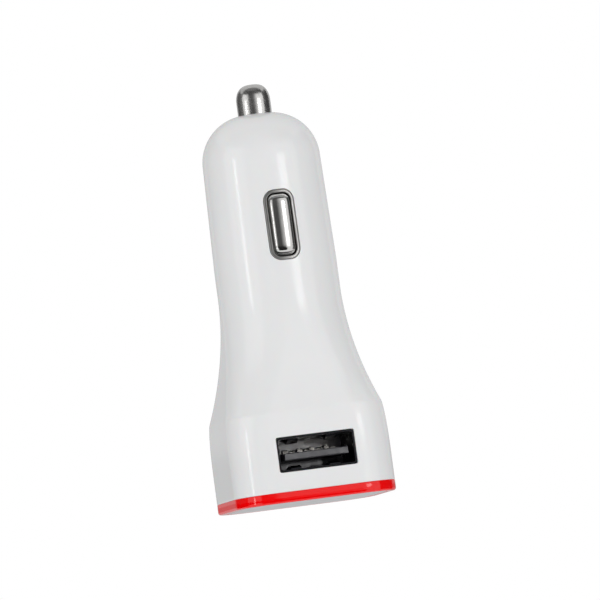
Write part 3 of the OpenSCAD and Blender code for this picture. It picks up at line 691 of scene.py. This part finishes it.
    def front(self, x: np.ndarray, z: np.ndarray, inner: bool) -> np.ndarray:
        """Distance of the skin in front of the axis at x and z: the flat plus the corner circle's height there."""
        flat, radius = self.inner_section(z) if inner else self.section(z)
        past = np.maximum(np.abs(x) - flat, 0)
        return flat + np.sqrt(np.maximum(radius ** 2 - past ** 2, 0))

    def heights(self) -> np.ndarray:
        """Row heights of the skin, closer at the crease and round the openings."""
        return np.concatenate([
            ramp(self.bottom_z + self.bottom_edge, 3.6, 0.45), ramp(3.6, 12.2, 0.33), ramp(12.2, 13.4, 0.3),
            ramp(13.4, 16.6, 0.13), ramp(16.6, self.flare_z, 0.5), ramp(self.flare_z, 39.2, 0.6),
            ramp(39.2, 52.8, 0.42), ramp(52.8, self.ledge_z, 0.6),
        ])

    def patch(self, surface: Surface, rows: np.ndarray, outer: np.ndarray, inner: np.ndarray,
              opening: Opening) -> tuple[slice, slice]:
        """Adds the skin round an opening, its rounded edge, its wall and the inner skin round it.

        Formula: rings of points go in straight lines, seen from the front, from a block of the grid's own points
        to the outline, lie on the skin, then roll over the edge by an arc and run straight through the wall.

        Args:
            surface: what the points are added to.
            rows: heights of the grid's rows.
            outer: the outer grid.
            inner: the inner grid, of the same heights.
            opening: the opening.

        Returns:
            The rows and the columns of cells that the patch takes the place of, columns counted from the front
            or rear middle.
        """
        sign = 1 if opening.rear else -1
        start = self.columns // 2 if opening.rear else 0
        low, high = opening.z - opening.height / 2 - opening.margin, opening.z + opening.height / 2 + opening.margin
        r0, r1 = int(np.searchsorted(rows, low)) - 1, int(np.searchsorted(rows, high))
        middle_row = outer[(r0 + r1) // 2, (start + np.arange(self.columns // 4)) % self.columns]
        reach = int(np.searchsorted(np.abs(middle_row[:, 0]), opening.width / 2 + opening.margin)) + 1
        cols = (start + np.arange(-reach, reach)) % self.columns
        loop_rows = np.concatenate([
            np.full(2 * reach - 1, r0), np.arange(r0, r1), np.full(2 * reach - 1, r1), np.arange(r1, r0, -1),
        ])
        loop_cols = np.concatenate([
            cols[:-1], np.full(r1 - r0, cols[-1]), cols[:0:-1], np.full(r1 - r0, cols[0]),
        ])
        share = 1 - (1 - np.linspace(0, 1, 11)) ** 1.6
        turn = np.linspace(0, math.pi / 2, 5)[1:]
        sheets = []
        for skin, is_inner in ((outer, False), (inner, True)):
            edge = skin[loop_rows, loop_cols]
            flat_edge = edge[:, [0, 2]]
            outline, normal = opening.outline(flat_edge)
            edge_r = 0.0 if is_inner else opening.edge
            goal = outline + normal * edge_r
            plane = flat_edge + (goal - flat_edge) * share[:, None, None]
            depth = self.front(plane[..., 0], plane[..., 1], is_inner)
            points = np.stack([plane[..., 0], sign * depth, plane[..., 1]], -1)
            points[0] = edge
            sheets.append(points)
            if not is_inner:
                roll = outline + normal * (edge_r * (1 - np.sin(turn)))[:, None, None]
                drop = (edge_r * (1 - np.cos(turn)))[:, None]
                rolled = self.front(roll[..., 0], roll[..., 1], False) - drop
                bend = np.stack([roll[..., 0], sign * rolled, roll[..., 1]], -1)
                surface.grid(np.concatenate([points[-1:], bend]))
                lip = bend[-1]
        surface.grid(sheets[0])
        surface.grid(sheets[1])
        surface.grid(np.stack([lip, sheets[1][-1]]))
        return slice(r0, r1), slice(start - reach, start + reach - 1)

    def build(self) -> bpy.types.Object:
        """Builds the shell as one closed skin.

        Formula: the rows run up the outside, over the nose, down the bore, down the inside and back under the rim.

        Returns:
            The housing.
        """
        surface = Surface()
        rows = self.heights()
        outer = self.rings(*self.section(rows), rows)
        inner = self.rings(*self.inner_section(rows), rows)
        keep = np.ones((len(rows) - 1, self.columns), bool)
        for opening in self.openings:
            span, cols = self.patch(surface, rows, outer, inner, opening)
            keep[span, np.arange(cols.start, cols.stop) % self.columns] = False
        surface.grid(outer, keep=keep)
        surface.grid(inner, keep=keep)
        arc_z, arc_r = self.nose_z - self.nose_round, self.nose_start_r - self.nose_round
        upper = ramp(self.ledge_z, arc_z, 0.6)
        edge_r = self.nose_bore + self.bore_edge
        end = math.degrees(math.acos((edge_r - arc_r) / self.nose_round))
        dome = arc(arc_r, arc_z, self.nose_round, 0, end, 34)
        top = dome[-1, 1]
        roll = arc(edge_r, top - self.bore_edge, self.bore_edge, 90, 180, 4)[1:]
        inside = self.nose_round - self.wall
        bore, pocket_z = self.nose_start_r - self.wall, self.nose_z - self.nose_wall
        a1 = math.degrees(math.acos((bore - self.ledge - arc_r) / inside))
        a2 = math.degrees(math.acos((self.pocket_r - arc_r) / inside))
        under = arc(arc_r, arc_z, inside, a2, a1, 8)
        taper = self.section(upper)[1]
        profile = np.concatenate([
            np.stack([np.append(self.section(rows[-1:])[1], taper), np.append(rows[-1], upper)], 1), dome, roll,
            [[self.nose_bore, pocket_z], [self.pocket_r, pocket_z]], under,
            [[bore - self.ledge, self.ledge_z], [bore, self.ledge_z], [bore, rows[-1]]],
        ])
        surface.grid(self.rings(np.zeros(len(profile)), profile[:, 0], profile[:, 1]))
        flat, radius = self.section(rows[:1])
        radius_in = self.inner_section(rows[:1])[1]
        curl = arc(self.bottom_edge, self.bottom_edge, self.bottom_edge, 180, 270, 3)
        inset = np.concatenate([curl[:, 0], [radius[0] - radius_in[0], radius[0] - radius_in[0]]])
        depth = np.concatenate([curl[:, 1], [0, self.bottom_edge]]) + self.bottom_z
        surface.grid(self.rings(np.full(len(inset), flat[0]), radius[0] - inset, depth))
        return surface.build("housing_shell")

    def dress(self) -> bpy.types.Object:
        """Builds the shell and gives it its finish."""
        return dress(self.build(), WHITE_ABS, "white_plastic", "charger", "housing")


@dataclass
class LightRing:
    """The red light guide round the end of the head, with the spigot that enters the housing. Millimetres."""

    housing: Housing
    height: float = 1.75
    face: float = 1.5
    edge: float = 0.42
    top_edge: float = 0.08
    cap_t: float = 1.38
    spigot_h: float = 2.2
    spigot_t: float = 1.1
    gap: float = 0.08
    face_edge: float = 0.12

    def dress(self) -> bpy.types.Object:
        """Builds the ring as one closed band, its profile given as inset from the head's outline and height."""
        outer_spigot = self.housing.wall + self.gap
        inner = outer_spigot + self.spigot_t
        top = self.height + self.spigot_h
        profile = np.concatenate([
            arc(self.edge, self.edge, self.edge, 270, 180, 8),
            arc(self.top_edge, self.height - self.top_edge, self.top_edge, 180, 90, 3),
            [[outer_spigot, self.height], [outer_spigot, top], [inner, top], [inner, self.cap_t],
             [self.face, self.cap_t], [self.face, self.face_edge]],
            arc(self.face - self.face_edge, self.face_edge, self.face_edge, 0, -90, 3),
        ])
        surface = Surface()
        surface.grid(self.housing.foot_rings(profile), wrap_rows=True)
        return dress(surface.build("light_ring_guide"), RED_LIGHT_GUIDE, "red_plastic", "charger", "light_ring")


@dataclass
class EndCap:
    """The pale grey plate inset in the ring, with two forks that hold the board. Millimetres."""

    housing: Housing
    inset: float = 1.58
    thickness: float = 1.3
    edge: float = 0.15
    face: float = 0.4
    fork_x: float = 6.0
    fork_w: float = 3.2
    fork_top: float = 3.7
    fork_t: float = 1.0
    board_middle: float = 1.2
    board_half: float = 0.68
    board_bottom: float = 2.22
    fork_sunk: float = 0.05

    def dress(self) -> bpy.types.Object:
        """Builds the plate with rounded edges, its profile given as inset from the head's outline and height."""
        low = arc(self.inset + self.edge, self.edge, self.edge, 270, 180, 4)
        high = arc(self.inset + self.edge, self.thickness - self.edge, self.edge, 180, 90, 4)
        flat = self.inset + self.edge + self.face
        profile = np.concatenate([[[flat, 0]], low, high, [[flat, self.thickness]]])
        wall = self.housing.foot_rings(profile)
        surface = Surface()
        surface.grid(wall)
        surface.cap(wall[0, ::-1])
        surface.cap(wall[-1])
        side = np.array([self.board_half + self.fork_t, self.board_half])
        heights = [self.thickness - self.fork_sunk, self.fork_top, self.fork_top, self.board_bottom]
        right = np.stack([side[[0, 0, 1, 1]], heights], 1)
        fork = np.concatenate([right, right[::-1] * (-1, 1)]) + (self.board_middle, 0)
        for x in (-self.fork_x, self.fork_x):
            surface.prism(fork, x - self.fork_w / 2, x + self.fork_w / 2)
        return dress(surface.build("end_cap_plate", 60), GREY_ABS, "grey_plastic", "charger", "end_cap")


@dataclass
class TipContact:
    """The turned centre contact and its spring. Millimetres."""

    radius: float = 2.85
    top_z: float = 70.4
    dome_h: float = 2.8
    collar_r: float = 4.2
    collar_z: float = 62.1
    collar_t: float = 1.4
    stem_r: float = 2.0
    stem_z: float = 59.5
    travel: float = 2.6
    spring_r: float = 2.6
    wire: float = 0.5
    turns: float = 5.5
    seat_z: float = 55.0
    stem_edge: float = 0.2
    collar_edge: float = 0.1
    spring_gap: float = 0.1
    columns: int = 128
    dome_rows: int = 28
    turn_rows: int = 40
    wire_columns: int = 12

    def contact(self) -> bpy.types.Object:
        """Builds the contact as a turned solid with a domed end.

        Formula: the dome's radius is the contact's times the cosine to the power 2/3, its height goes with the sine.
        """
        dome_z = self.top_z - self.dome_h
        a = np.radians(90 * (1 - (1 - np.linspace(0, 1, self.dome_rows)) ** 1.5))
        dome = np.stack([self.radius * np.cos(a) ** (2 / 3), dome_z + self.dome_h * np.sin(a)], 1)
        dome[-1, 0] = 0.0
        stem, collar, collar_top = self.stem_edge, self.collar_edge, self.collar_z + self.collar_t
        profile = np.concatenate([
            [[0, self.stem_z], [self.stem_r - stem, self.stem_z], [self.stem_r, self.stem_z + stem],
             [self.stem_r, self.collar_z], [self.collar_r - collar, self.collar_z],
             [self.collar_r, self.collar_z + collar], [self.collar_r, collar_top - collar],
             [self.collar_r - collar, collar_top], [self.radius, collar_top]],
            dome,
        ])
        surface = Surface()
        surface.grid(lathe(profile, self.columns))
        return surface.build("tip_plunger", 35)

    def spring(self) -> bpy.types.Object:
        """Builds the coil: a round wire carried along a helix, with flat ends."""
        low, high = self.seat_z + self.wire / 2, self.collar_z - self.spring_gap - self.wire / 2
        t = np.linspace(0, 2 * math.pi * self.turns, int(self.turns * self.turn_rows) + 1)[:, None]
        a = np.arange(self.wire_columns)[None] * 2 * math.pi / self.wire_columns
        lean = math.atan((high - low) / (self.turns * 2 * math.pi * self.spring_r))
        out = self.spring_r + self.wire / 2 * np.cos(a)
        along = -self.wire / 2 * np.sin(a) * math.sin(lean)
        z = low + (high - low) * t / t[-1] + self.wire / 2 * np.sin(a) * math.cos(lean)
        tube = np.stack([out * np.cos(t) - along * np.sin(t), out * np.sin(t) + along * np.cos(t), z], -1)
        surface = Surface()
        surface.grid(tube)
        surface.cap(tube[0, ::-1])
        surface.cap(tube[-1])
        return surface.build("tip_coil")

    def dress(self) -> None:
        """Builds both, and gives the coil a mesh of its own."""
        dress(self.contact(), TUMBLED_NICKEL, "nickel", "tip", "tip_contact")
        coil = dress(self.spring(), SPRING_WIRE, "spring_steel", "charger", "tip_spring")
        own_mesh(coil)
        dress_node("tip_terminal", BRASS)
        dress_node("spring_seat", BLACK_NYLON)


class Side(Enum):
    """Which side of the barrel a ground contact is on, as the sign of its Y."""

    FRONT = -1
    REAR = 1


@dataclass
class GroundContact:
    """A pressed side contact in its plated bezel. Millimetres."""

    housing: Housing
    side: Side
    slot_w: float = 5.2
    slot_h: float = 11.8
    slot_r: float = 1.9
    z: float = 46.0
    gap: float = 0.08
    rim: float = 0.5
    flange: float = 0.6
    flange_r: float = 8.2
    flange_inner_r: float = 7.75
    contact_gap: float = 0.2
    sheet: float = 0.4
    bulge_w: float = 3.5
    bulge_h: float = 9.6
    bulge_blunt: float = 16.0
    bulge_wall: float = 0.45
    bulge_out: float = 0.75
    plate_depth: float = 0.55
    leaf_w: float = 3.0
    leaf_y: float = 7.2
    foot_z: float = 31.8
    shelf_inset: float = 0.35
    leaf_bend: float = 0.4
    rim_edge: float = 0.13
    plate_edge: float = 0.1
    points: int = 144

    def barrel(self, z: np.ndarray) -> np.ndarray:
        """Barrel radius at height z."""
        return self.housing.section(z)[1]

    def place(self, plane: np.ndarray, y: np.ndarray) -> np.ndarray:
        """Points at x and z with their distance y in front of the axis, on this contact's side."""
        return np.stack([plane[..., 0], self.side.value * y, plane[..., 1] + self.z], -1)

    def bezel(self) -> bpy.types.Object:
        """Builds the bezel: a rim flush with the barrel, with rounded edges, and a flange behind the wall.

        Formula: each row is the slot's outline grown or shrunk, at a depth below the barrel's own surface.
        """
        loop = Loop(self.slot_w / 2 - self.gap, self.slot_h / 2 - self.gap, self.slot_r - self.gap, self.points)
        soft = self.rim_edge
        outside = arc(-soft, soft, soft, 0, -90, 4)
        inside = arc(-self.rim + soft, soft, soft, -90, -180, 4)
        rows = np.concatenate([[[0.0, 1.0]], outside, inside])
        plane = loop.base + loop.normal * (loop.radius + rows[:, :1, None])
        surface_r = self.barrel(plane[..., 1] + self.z)
        depth = np.sqrt(surface_r ** 2 - plane[..., 0] ** 2) - rows[:, 1:]
        back_grow = np.array([-self.rim, self.flange, self.flange, 0.0])
        back_r = np.array([self.flange_inner_r, self.flange_inner_r, self.flange_r, self.flange_r])
        back = loop.base + loop.normal * (loop.radius + back_grow[:, None, None])
        back_y = np.sqrt(back_r[:, None] ** 2 - back[..., 0] ** 2)
        surface = Surface()
        surface.grid(np.concatenate([self.place(plane, depth), self.place(back, back_y)]), wrap_rows=True)
        return surface.build(f"bezel_{self.side.name.lower()}_rim")

    def bulge(self, half_w: float, half_h: float, rise: float, share: np.ndarray) -> np.ndarray:
        """Rings of points up a long dome with blunt ends.

        Formula: over an upright wall, height is the rest of the rise times the root of 1 - (x / half width)^2 -
        |z / half height|^blunt. A ring's share s of the base scales x by s and z by s to the power 2 / blunt.
        The base is spread by arc length.

        Args:
            half_w: half the base's width.
            half_h: half the base's height.
            rise: height of the dome.
            share: each ring's share of the base, 1 at the base and 0 at the crest.

        Returns:
            Rings of points, each x, z and height.
        """
        t = np.linspace(-math.pi / 2, 1.5 * math.pi, 40001)
        base = np.stack([
            half_w * np.cos(t), half_h * np.sign(np.sin(t)) * np.abs(np.sin(t)) ** (2 / self.bulge_blunt)], 1)
        length = np.append(0, np.cumsum(np.linalg.norm(np.diff(base, axis=0), axis=1)))
        at = (np.arange(self.points) + 0.5) / self.points * length[-1]
        x, z = np.interp(at, length, base[:, 0]), np.interp(at, length, base[:, 1])
        s = share[:, None]
        height = self.bulge_wall + (rise - self.bulge_wall) * np.sqrt(1 - s ** 2)
        height[0] = 0.0
        return np.stack([s * x, s ** (2 / self.bulge_blunt) * z, np.broadcast_to(height, (len(s), len(x)))], -1)

    def plate(self) -> bpy.types.Object:
        """Builds the pressed contact: plate, hollow bulge and leaf.

        Formula: rings run in from the plate's outline, over its rounded edge, up the bulge and back down inside.
        """
        spread = self.gap + self.rim + self.contact_gap
        plate = Loop(self.slot_w / 2 - spread, self.slot_h / 2 - spread, self.slot_r - spread, self.points)
        plate_y = float(self.barrel(np.array([self.z]))[0]) - self.plate_depth
        rise = self.plate_depth + self.bulge_out
        rolled = arc(-self.plate_edge, -self.plate_edge, self.plate_edge, 0, 90, 3)
        flat = plate.base[None] + plate.normal[None] * (plate.radius + rolled[:, :1, None])
        rounds = np.sin(np.radians(np.linspace(90, 0, 22)))
        crest = [0.03, 0.01, 0.003, 0.001, 0]
        dome = self.bulge(self.bulge_w / 2, self.bulge_h / 2, rise, np.concatenate([[1], rounds[:-1], crest]))
        hollow = self.bulge(self.bulge_w / 2 - self.sheet, self.bulge_h / 2 - self.sheet, rise, np.append(1, rounds))
        skin = np.concatenate([
            self.place(plate.at()[None], np.full((1, self.points), plate_y - self.sheet)),
            self.place(flat, plate_y + rolled[:, 1:] + np.zeros((1, self.points))),
            self.place(dome[..., :2], plate_y + dome[..., 2]),
        ])
        surface = Surface()
        surface.grid(skin)
        inside = self.place(hollow[..., :2], plate_y - self.sheet + hollow[..., 2])
        surface.grid(np.concatenate([skin[:1], inside]))
        self.leaf(surface, plate_y)
        return surface.build(f"contact_{self.side.name.lower()}_plate", 50)

    def leaf(self, surface: Surface, plate_y: float) -> None:
        """Adds the leaf, a closed strip up from its root, over a bend and a shelf into the plate's lower edge.

        Args:
            surface: what the strip is added to.
            plate_y: distance of the plate's face in front of the axis.
        """
        shelf_z = self.z - self.slot_h / 2 + self.gap + self.rim + self.contact_gap + self.shelf_inset
        middle = (self.leaf_y + self.leaf_bend, shelf_z - self.leaf_bend)
        ends = np.array([[self.leaf_y, self.foot_z], [plate_y - self.sheet / 2, shelf_z]])
        face = np.concatenate([ends[:1], arc(*middle, self.leaf_bend, 180, 90, 6), ends[1:]])
        curve = arc(*middle, self.leaf_bend + self.sheet, 180, 90, 6)
        back = np.concatenate([ends[:1] - (self.sheet, 0), curve, ends[1:] + (0, self.sheet)])
        corners = np.array([[-1, 0], [1, 0], [1, 1], [-1, 1]])
        ring = np.stack([
            np.stack([
                np.full(len(face), x * self.leaf_w / 2),
                self.side.value * np.where(is_back, back[:, 0], face[:, 0]), np.where(is_back, back[:, 1], face[:, 1]),
            ], 1) for x, is_back in corners
        ], 1)
        surface.grid(ring)
        surface.cap(ring[0, ::-1])
        surface.cap(ring[-1])

    def dress(self) -> None:
        """Builds the bezel and the contact and dresses both."""
        name = self.side.name.lower()
        dress(self.bezel(), DULL_NICKEL, "nickel", "charger", f"bezel_{name}")
        dress(self.plate(), NICKEL, "nickel", f"ground_{name}", f"ground_contact_{name}")


@dataclass
class UsbPort:
    """The type A port: shell, tongue block and four bowed pins. Millimetres."""

    shell_edge: float = 0.07
    tongue_edge: float = 0.08
    pin_edge: float = 0.05
    pins: int = 4

    def dress(self) -> None:
        """Rounds the edges of the port's pieces and gives them their finishes."""
        # The shell's dark colour is painted shade of the port's mouth
        dress_node("usb_shell", SHADED_PORT_SHEET, self.shell_edge)
        dress_node("usb_insulator", BLACK_NYLON, self.tongue_edge)
        for number in range(1, self.pins + 1):
            dress_node(f"usb_pin_{number}", PIN_PLATE, self.pin_edge)


@dataclass
class Electronics:
    """What the closed housing holds round the circuit board."""

    finishes: tuple[tuple[str, Finish], ...] = (
        ("circuit_board", SOLDER_MASK), ("ground_band", NICKEL), ("inductor_core", FERRITE),
        ("inductor_winding", COPPER_WINDING), ("input_capacitor", DRAWN_CAN), ("output_capacitor", DRAWN_CAN),
        ("capacitor_base", BLACK_NYLON), ("converter_chip", BLACK_NYLON), ("chip_leads", TIN_SHEET),
        ("diode", BLACK_NYLON), ("fuse", CHIP_CERAMIC), ("ceramic_capacitors", CHIP_CERAMIC),
        ("chip_resistors", CHIP_CERAMIC), ("led_left", RED_LIGHT_GUIDE), ("led_right", RED_LIGHT_GUIDE),
    )

    def dress(self) -> None:
        """Gives each part its finish."""
        for name, finish in self.finishes:
            dress_node(name, finish)


# Floor, light and camera


@dataclass
class Camera:
    """The photograph's view: a long lens, slightly below the end face, turned so that the object leans.

    Attributes:
        azimuth: degrees from the front, negative to the object's own left.
        elevation: degrees above the horizon.
        roll: degrees that the picture is turned.
        distance_mm: from the object.
        px_per_mm: size of the object in the picture.
        centre_px: where the point centre_z on the axis falls in the picture.
        centre_z: that point's height in millimetres.
        picture: width of the picture in pixels.
        sensor_mm: width of the camera's sensor.
    """

    azimuth: float = -11.86
    elevation: float = -3.07
    roll: float = -7.65
    distance_mm: float = 1575.0
    px_per_mm: float = 6.0
    centre_px: tuple[float, float] = (277.35, 280.85)
    centre_z: float = 37.34
    picture: int = 600
    sensor_mm: float = 36.0

    def axes(self) -> tuple[Vector, Vector, Vector]:
        """Right, up and backward directions of the picture."""
        a, r = math.radians(self.azimuth), math.radians(self.roll)
        back = direction(self.azimuth, self.elevation)
        right = Vector((math.cos(a), math.sin(a), 0.0))
        up = back.cross(right)
        return right * math.cos(r) + up * math.sin(r), up * math.cos(r) - right * math.sin(r), back

    def build(self) -> bpy.types.Object:
        """Places the camera so that the axis point falls on its pixel."""
        right, up, back = self.axes()
        dx, dy = (self.picture / 2 - v for v in self.centre_px)
        target = Vector((0, 0, self.centre_z)) + (right * dx - up * dy) / self.px_per_mm
        data = bpy.data.cameras.new("camera")
        data.sensor_width = self.sensor_mm
        data.lens = self.sensor_mm * self.distance_mm * self.px_per_mm / self.picture
        data.clip_start, data.clip_end = 0.05, 20.0
        camera = bpy.data.objects.new("camera", data)
        turn = Matrix((right, up, back)).transposed().to_4x4()
        camera.matrix_world = Matrix.Translation((target + back * self.distance_mm) * MM) @ turn
        bpy.context.scene.collection.objects.link(camera)
        bpy.context.scene.camera = camera
        return camera


@dataclass
class Softbox:
    """A lamp that faces the object.

    Attributes:
        name: its name.
        side_deg: degrees to the right of the camera, seen from above.
        lift_deg: degrees above the horizon.
        width_mm: width.
        height_mm: height.
        power: watts.
        distance_mm: from the object.
        mirrored: whether gloss and metal reflect it.
        only: starts of the names of the only pieces that it lights, or empty for all.
    """

    name: str
    side_deg: float
    lift_deg: float
    width_mm: float
    height_mm: float
    power: float
    distance_mm: float = 700.0
    mirrored: bool = True
    only: tuple[str, ...] = ()

    def build(self, camera_azimuth: float) -> None:
        """Places the lamp so that it faces the middle of the object, and limits it to the pieces named."""
        back = direction(camera_azimuth + self.side_deg, self.lift_deg)
        data = bpy.data.lights.new(self.name, "AREA")
        data.shape = "RECTANGLE"
        data.size, data.size_y = self.width_mm * MM, self.height_mm * MM
        data.energy = self.power
        lamp = bpy.data.objects.new(self.name, data)
        lamp.location = Vector((0, 0, MIDDLE_MM * MM)) + back * self.distance_mm * MM
        lamp.visible_glossy = self.mirrored
        lamp.rotation_mode = "QUATERNION"
        lamp.rotation_quaternion = back.to_track_quat("Z", "Y")
        bpy.context.scene.collection.objects.link(lamp)
        if self.only:
            lit = bpy.data.collections.new(f"{self.name}_pieces")
            for piece in bpy.context.scene.objects:
                if piece.name.startswith(self.only):
                    lit.objects.link(piece)
            lamp.light_linking.receiver_collection = lit


@dataclass
class Card:
    """A curved card of cloth round the object, a patch of a sphere, seen only in reflections on gloss and metal.

    Attributes:
        name: its name.
        start_deg: where it starts, to the right of the camera.
        end_deg: where it ends.
        low_deg: its lower edge, degrees above the horizon.
        high_deg: its upper edge.
        tone: its colour where it starts, sRGB hex.
        end_tone: its colour where it ends, or empty for the same.
        radius_mm: its distance from the object.
    """

    name: str
    start_deg: float
    end_deg: float
    low_deg: float
    high_deg: float
    tone: str
    end_tone: str = ""
    radius_mm: float = 900.0

    def build(self, camera_azimuth: float) -> None:
        """Bends the card round the object and gives it its cloth, whose tone runs from one end to the other.

        Formula: the angle round the axis is the arctangent of x over -y, and the tone goes linearly with it.
        """
        ends = np.radians([camera_azimuth + self.start_deg, camera_azimuth + self.end_deg])
        a = np.linspace(*ends, 33)[:, None]
        e = np.radians(np.linspace(self.low_deg, self.high_deg, 17))[None]
        surface = Surface()
        surface.grid(self.radius_mm * np.stack(np.broadcast_arrays(
            np.sin(a) * np.cos(e), -np.cos(a) * np.cos(e), np.sin(e)), -1) + (0, 0, MIDDLE_MM), wrap_cols=False)
        card = surface.build(f"card_{self.name}")
        cloth = bpy.data.materials.new(f"cloth_{self.name}")
        tree = blank_tree(cloth)
        axes = add_node(tree, "ShaderNodeSeparateXYZ", {0: object_place(tree)}).outputs
        ahead = add_node(tree, "ShaderNodeMath", {0: axes[1]}, operation="MULTIPLY", in_1=-1.0).outputs[0]
        angle = add_node(tree, "ShaderNodeMath", {0: axes[0], 1: ahead}, operation="ARCTAN2").outputs[0]
        share = add_node(tree, "ShaderNodeMapRange", {"Value": angle}, in_From_Min=ends[0], in_From_Max=ends[1])
        tone = add_node(tree, "ShaderNodeMix", {"Factor": share.outputs[0]}, data_type="RGBA",
                        in_6=linear(self.tone), in_7=linear(self.end_tone or self.tone))
        shade = add_node(tree, "ShaderNodeEmission", {"Color": tone.outputs[2]}, in_Strength=1.0)
        add_node(tree, "ShaderNodeOutputMaterial", {"Surface": shade.outputs[0]})
        card.data.materials.append(cloth)
        card.visible_camera = card.visible_diffuse = card.visible_shadow = False


@dataclass
class Studio:
    """Plain pale floor, white surroundings and soft lamps.

    Attributes:
        camera: the camera, whose azimuth the lamps and cards go by.
        floor_mm: width of the floor.
        floor_gap: how far the floor lies under the end face.
        floor_tone: main colour of its paper, sRGB hex.
        floor_other: second colour of its paper.
        grain_mm: size of the paper's grain.
        ambient: strength of the even light on the object from the horizon.
        zenith: its strength from straight above.
        lamps: the lamps.
        cards: the cards that gloss and metal reflect.
    """

    camera: Camera
    floor_mm: float = 4000.0
    floor_gap: float = 0.05
    floor_tone: str = "#EDEDED"
    floor_other: str = "#F1F1F1"
    grain_mm: float = 2.5
    ambient: float = 0.79
    zenith: float = 0.72
    lamps: tuple[Softbox, ...] = (
        Softbox("strip_left", -54, 0, 45, 240, 0.2),
        Softbox("softbox_right", 39, 5.6, 190, 95, 0.21),
        Softbox("fill_front", -4, 4, 400, 400, 0.78, mirrored=False),
        Softbox("port_light", 34, -0.5, 40, 40, 1.9, only=("usb_insulator",)),
        Softbox("pin_light", 24, 12, 200, 200, 130.0, only=("usb_pin",)),
    )
    cards: tuple[Card, ...] = (
        Card("low", -78, 22, -4, 1.0, "#161616"),
        Card("low_ramp", 22, 27, -4, 1.0, "#161616", "#FFFFFF"),
        Card("low_front", -33, 30, -40, -4, "#161616", "#202020"),
        Card("front", -33, 4, 1.0, 35, "#565656"),
        Card("front_right", 4, 30, 1.0, 35, "#565656", "#FFFFFF"),
        Card("high", -78, 90, 35, 60, "#4C4C4C"),
        Card("above", -90, 90, 60, 90, "#7A7A7A"),
        Card("above_rear", 90, 270, 35, 90, "#CFCFCF"),
        Card("right", 74, 132, -30, 35, "#484848", "#3C3C3C"),
        Card("left", -138, -78, 0.8, 60, "#484848", "#6E6E6E"),
        Card("left_low", -138, -78, -30, 0.8, "#161616"),
        Card("rear", 132, 195, 0.85, 35, "#C8C8C8"),
        Card("rear_left", 195, 222, 0.85, 35, "#B2B2B2"),
        Card("rear_side", 132, 222, -2.5, 0.85, "#909090"),
        Card("rear_low", 132, 222, -30, -2.5, "#BEBEBE"),
    )

    def floor(self) -> None:
        """Adds the floor, just under the end face. Only its upper side is drawn, so that a camera below sees past."""
        half = self.floor_mm / 2
        surface = Surface()
        t = np.linspace(-half, half, 9)
        x, y = np.meshgrid(t, t)
        surface.grid(np.stack([x, y, np.full_like(x, -self.floor_gap)], -1), wrap_cols=False)
        floor = surface.build("floor")
        paper = bpy.data.materials.new("matt_paper_floor")
        tree = blank_tree(paper)
        grain = add_node(tree, "ShaderNodeTexNoise", {"Vector": object_place(tree)},
                         in_Scale=1 / (self.grain_mm * MM), in_Detail=2.0)
        tone = add_node(tree, "ShaderNodeMix", {"Factor": grain.outputs["Fac"]}, data_type="RGBA",
                        in_6=linear(self.floor_tone), in_7=linear(self.floor_other))
        matt = add_node(tree, "ShaderNodeBsdfDiffuse", {"Color": tone.outputs[2]})
        clear = add_node(tree, "ShaderNodeBsdfTransparent")
        under = add_node(tree, "ShaderNodeNewGeometry").outputs["Backfacing"]
        mixed = add_node(tree, "ShaderNodeMixShader", {0: under, 1: matt.outputs[0], 2: clear.outputs[0]})
        add_node(tree, "ShaderNodeOutputMaterial", {"Surface": mixed.outputs[0]})
        floor.data.materials.append(paper)
        floor.visible_shadow = floor.visible_diffuse = floor.visible_glossy = False

    def world(self) -> None:
        """Sets white surroundings for the camera and reflections, and a softer even light on the object."""
        world = bpy.data.worlds.new("white_studio")
        bpy.context.scene.world = world
        tree = blank_tree(world)
        rays = add_node(tree, "ShaderNodeLightPath").outputs
        seen = add_node(tree, "ShaderNodeMath", {0: rays["Is Camera Ray"], 1: rays["Is Glossy Ray"]},
                        operation="MAXIMUM").outputs[0]
        seen = add_node(tree, "ShaderNodeMath", {0: seen, 1: rays["Is Transmission Ray"]},
                        operation="MAXIMUM").outputs[0]
        up = add_node(tree, "ShaderNodeSeparateXYZ", {
            0: add_node(tree, "ShaderNodeTexCoord").outputs["Generated"]}).outputs[2]
        level = add_node(tree, "ShaderNodeMapRange", {"Value": up}, in_From_Min=0.0, in_From_Max=1.0,
                         in_To_Min=self.ambient, in_To_Max=self.zenith)
        soft = add_node(tree, "ShaderNodeBackground", {"Strength": level.outputs[0]}, in_Color=linear("#FFFFFF"))
        white = add_node(tree, "ShaderNodeBackground", in_Color=linear("#FFFFFF"), in_Strength=1.0)
        mixed = add_node(tree, "ShaderNodeMixShader", {0: seen, 1: soft.outputs[0], 2: white.outputs[0]})
        add_node(tree, "ShaderNodeOutputWorld", {"Surface": mixed.outputs[0]})

    def build(self) -> None:
        """Sets up everything round the object."""
        self.world()
        self.floor()
        for item in self.cards + self.lamps:
            item.build(self.camera.azimuth)
        bpy.context.scene.view_settings.view_transform = "Standard"


def main() -> None:
    """Builds the camera, the pieces and the studio in order."""
    logging.basicConfig(level=logging.INFO, format="%(name)s: %(message)s")
    camera = Camera()
    camera.build()
    housing = Housing()
    housing.dress()
    LightRing(housing).dress()
    EndCap(housing).dress()
    TipContact().dress()
    for side in Side:
        GroundContact(housing, side).dress()
    UsbPort().dress()
    Electronics().dress()
    Studio(camera).build()


if __name__ == "__main__":
    main()
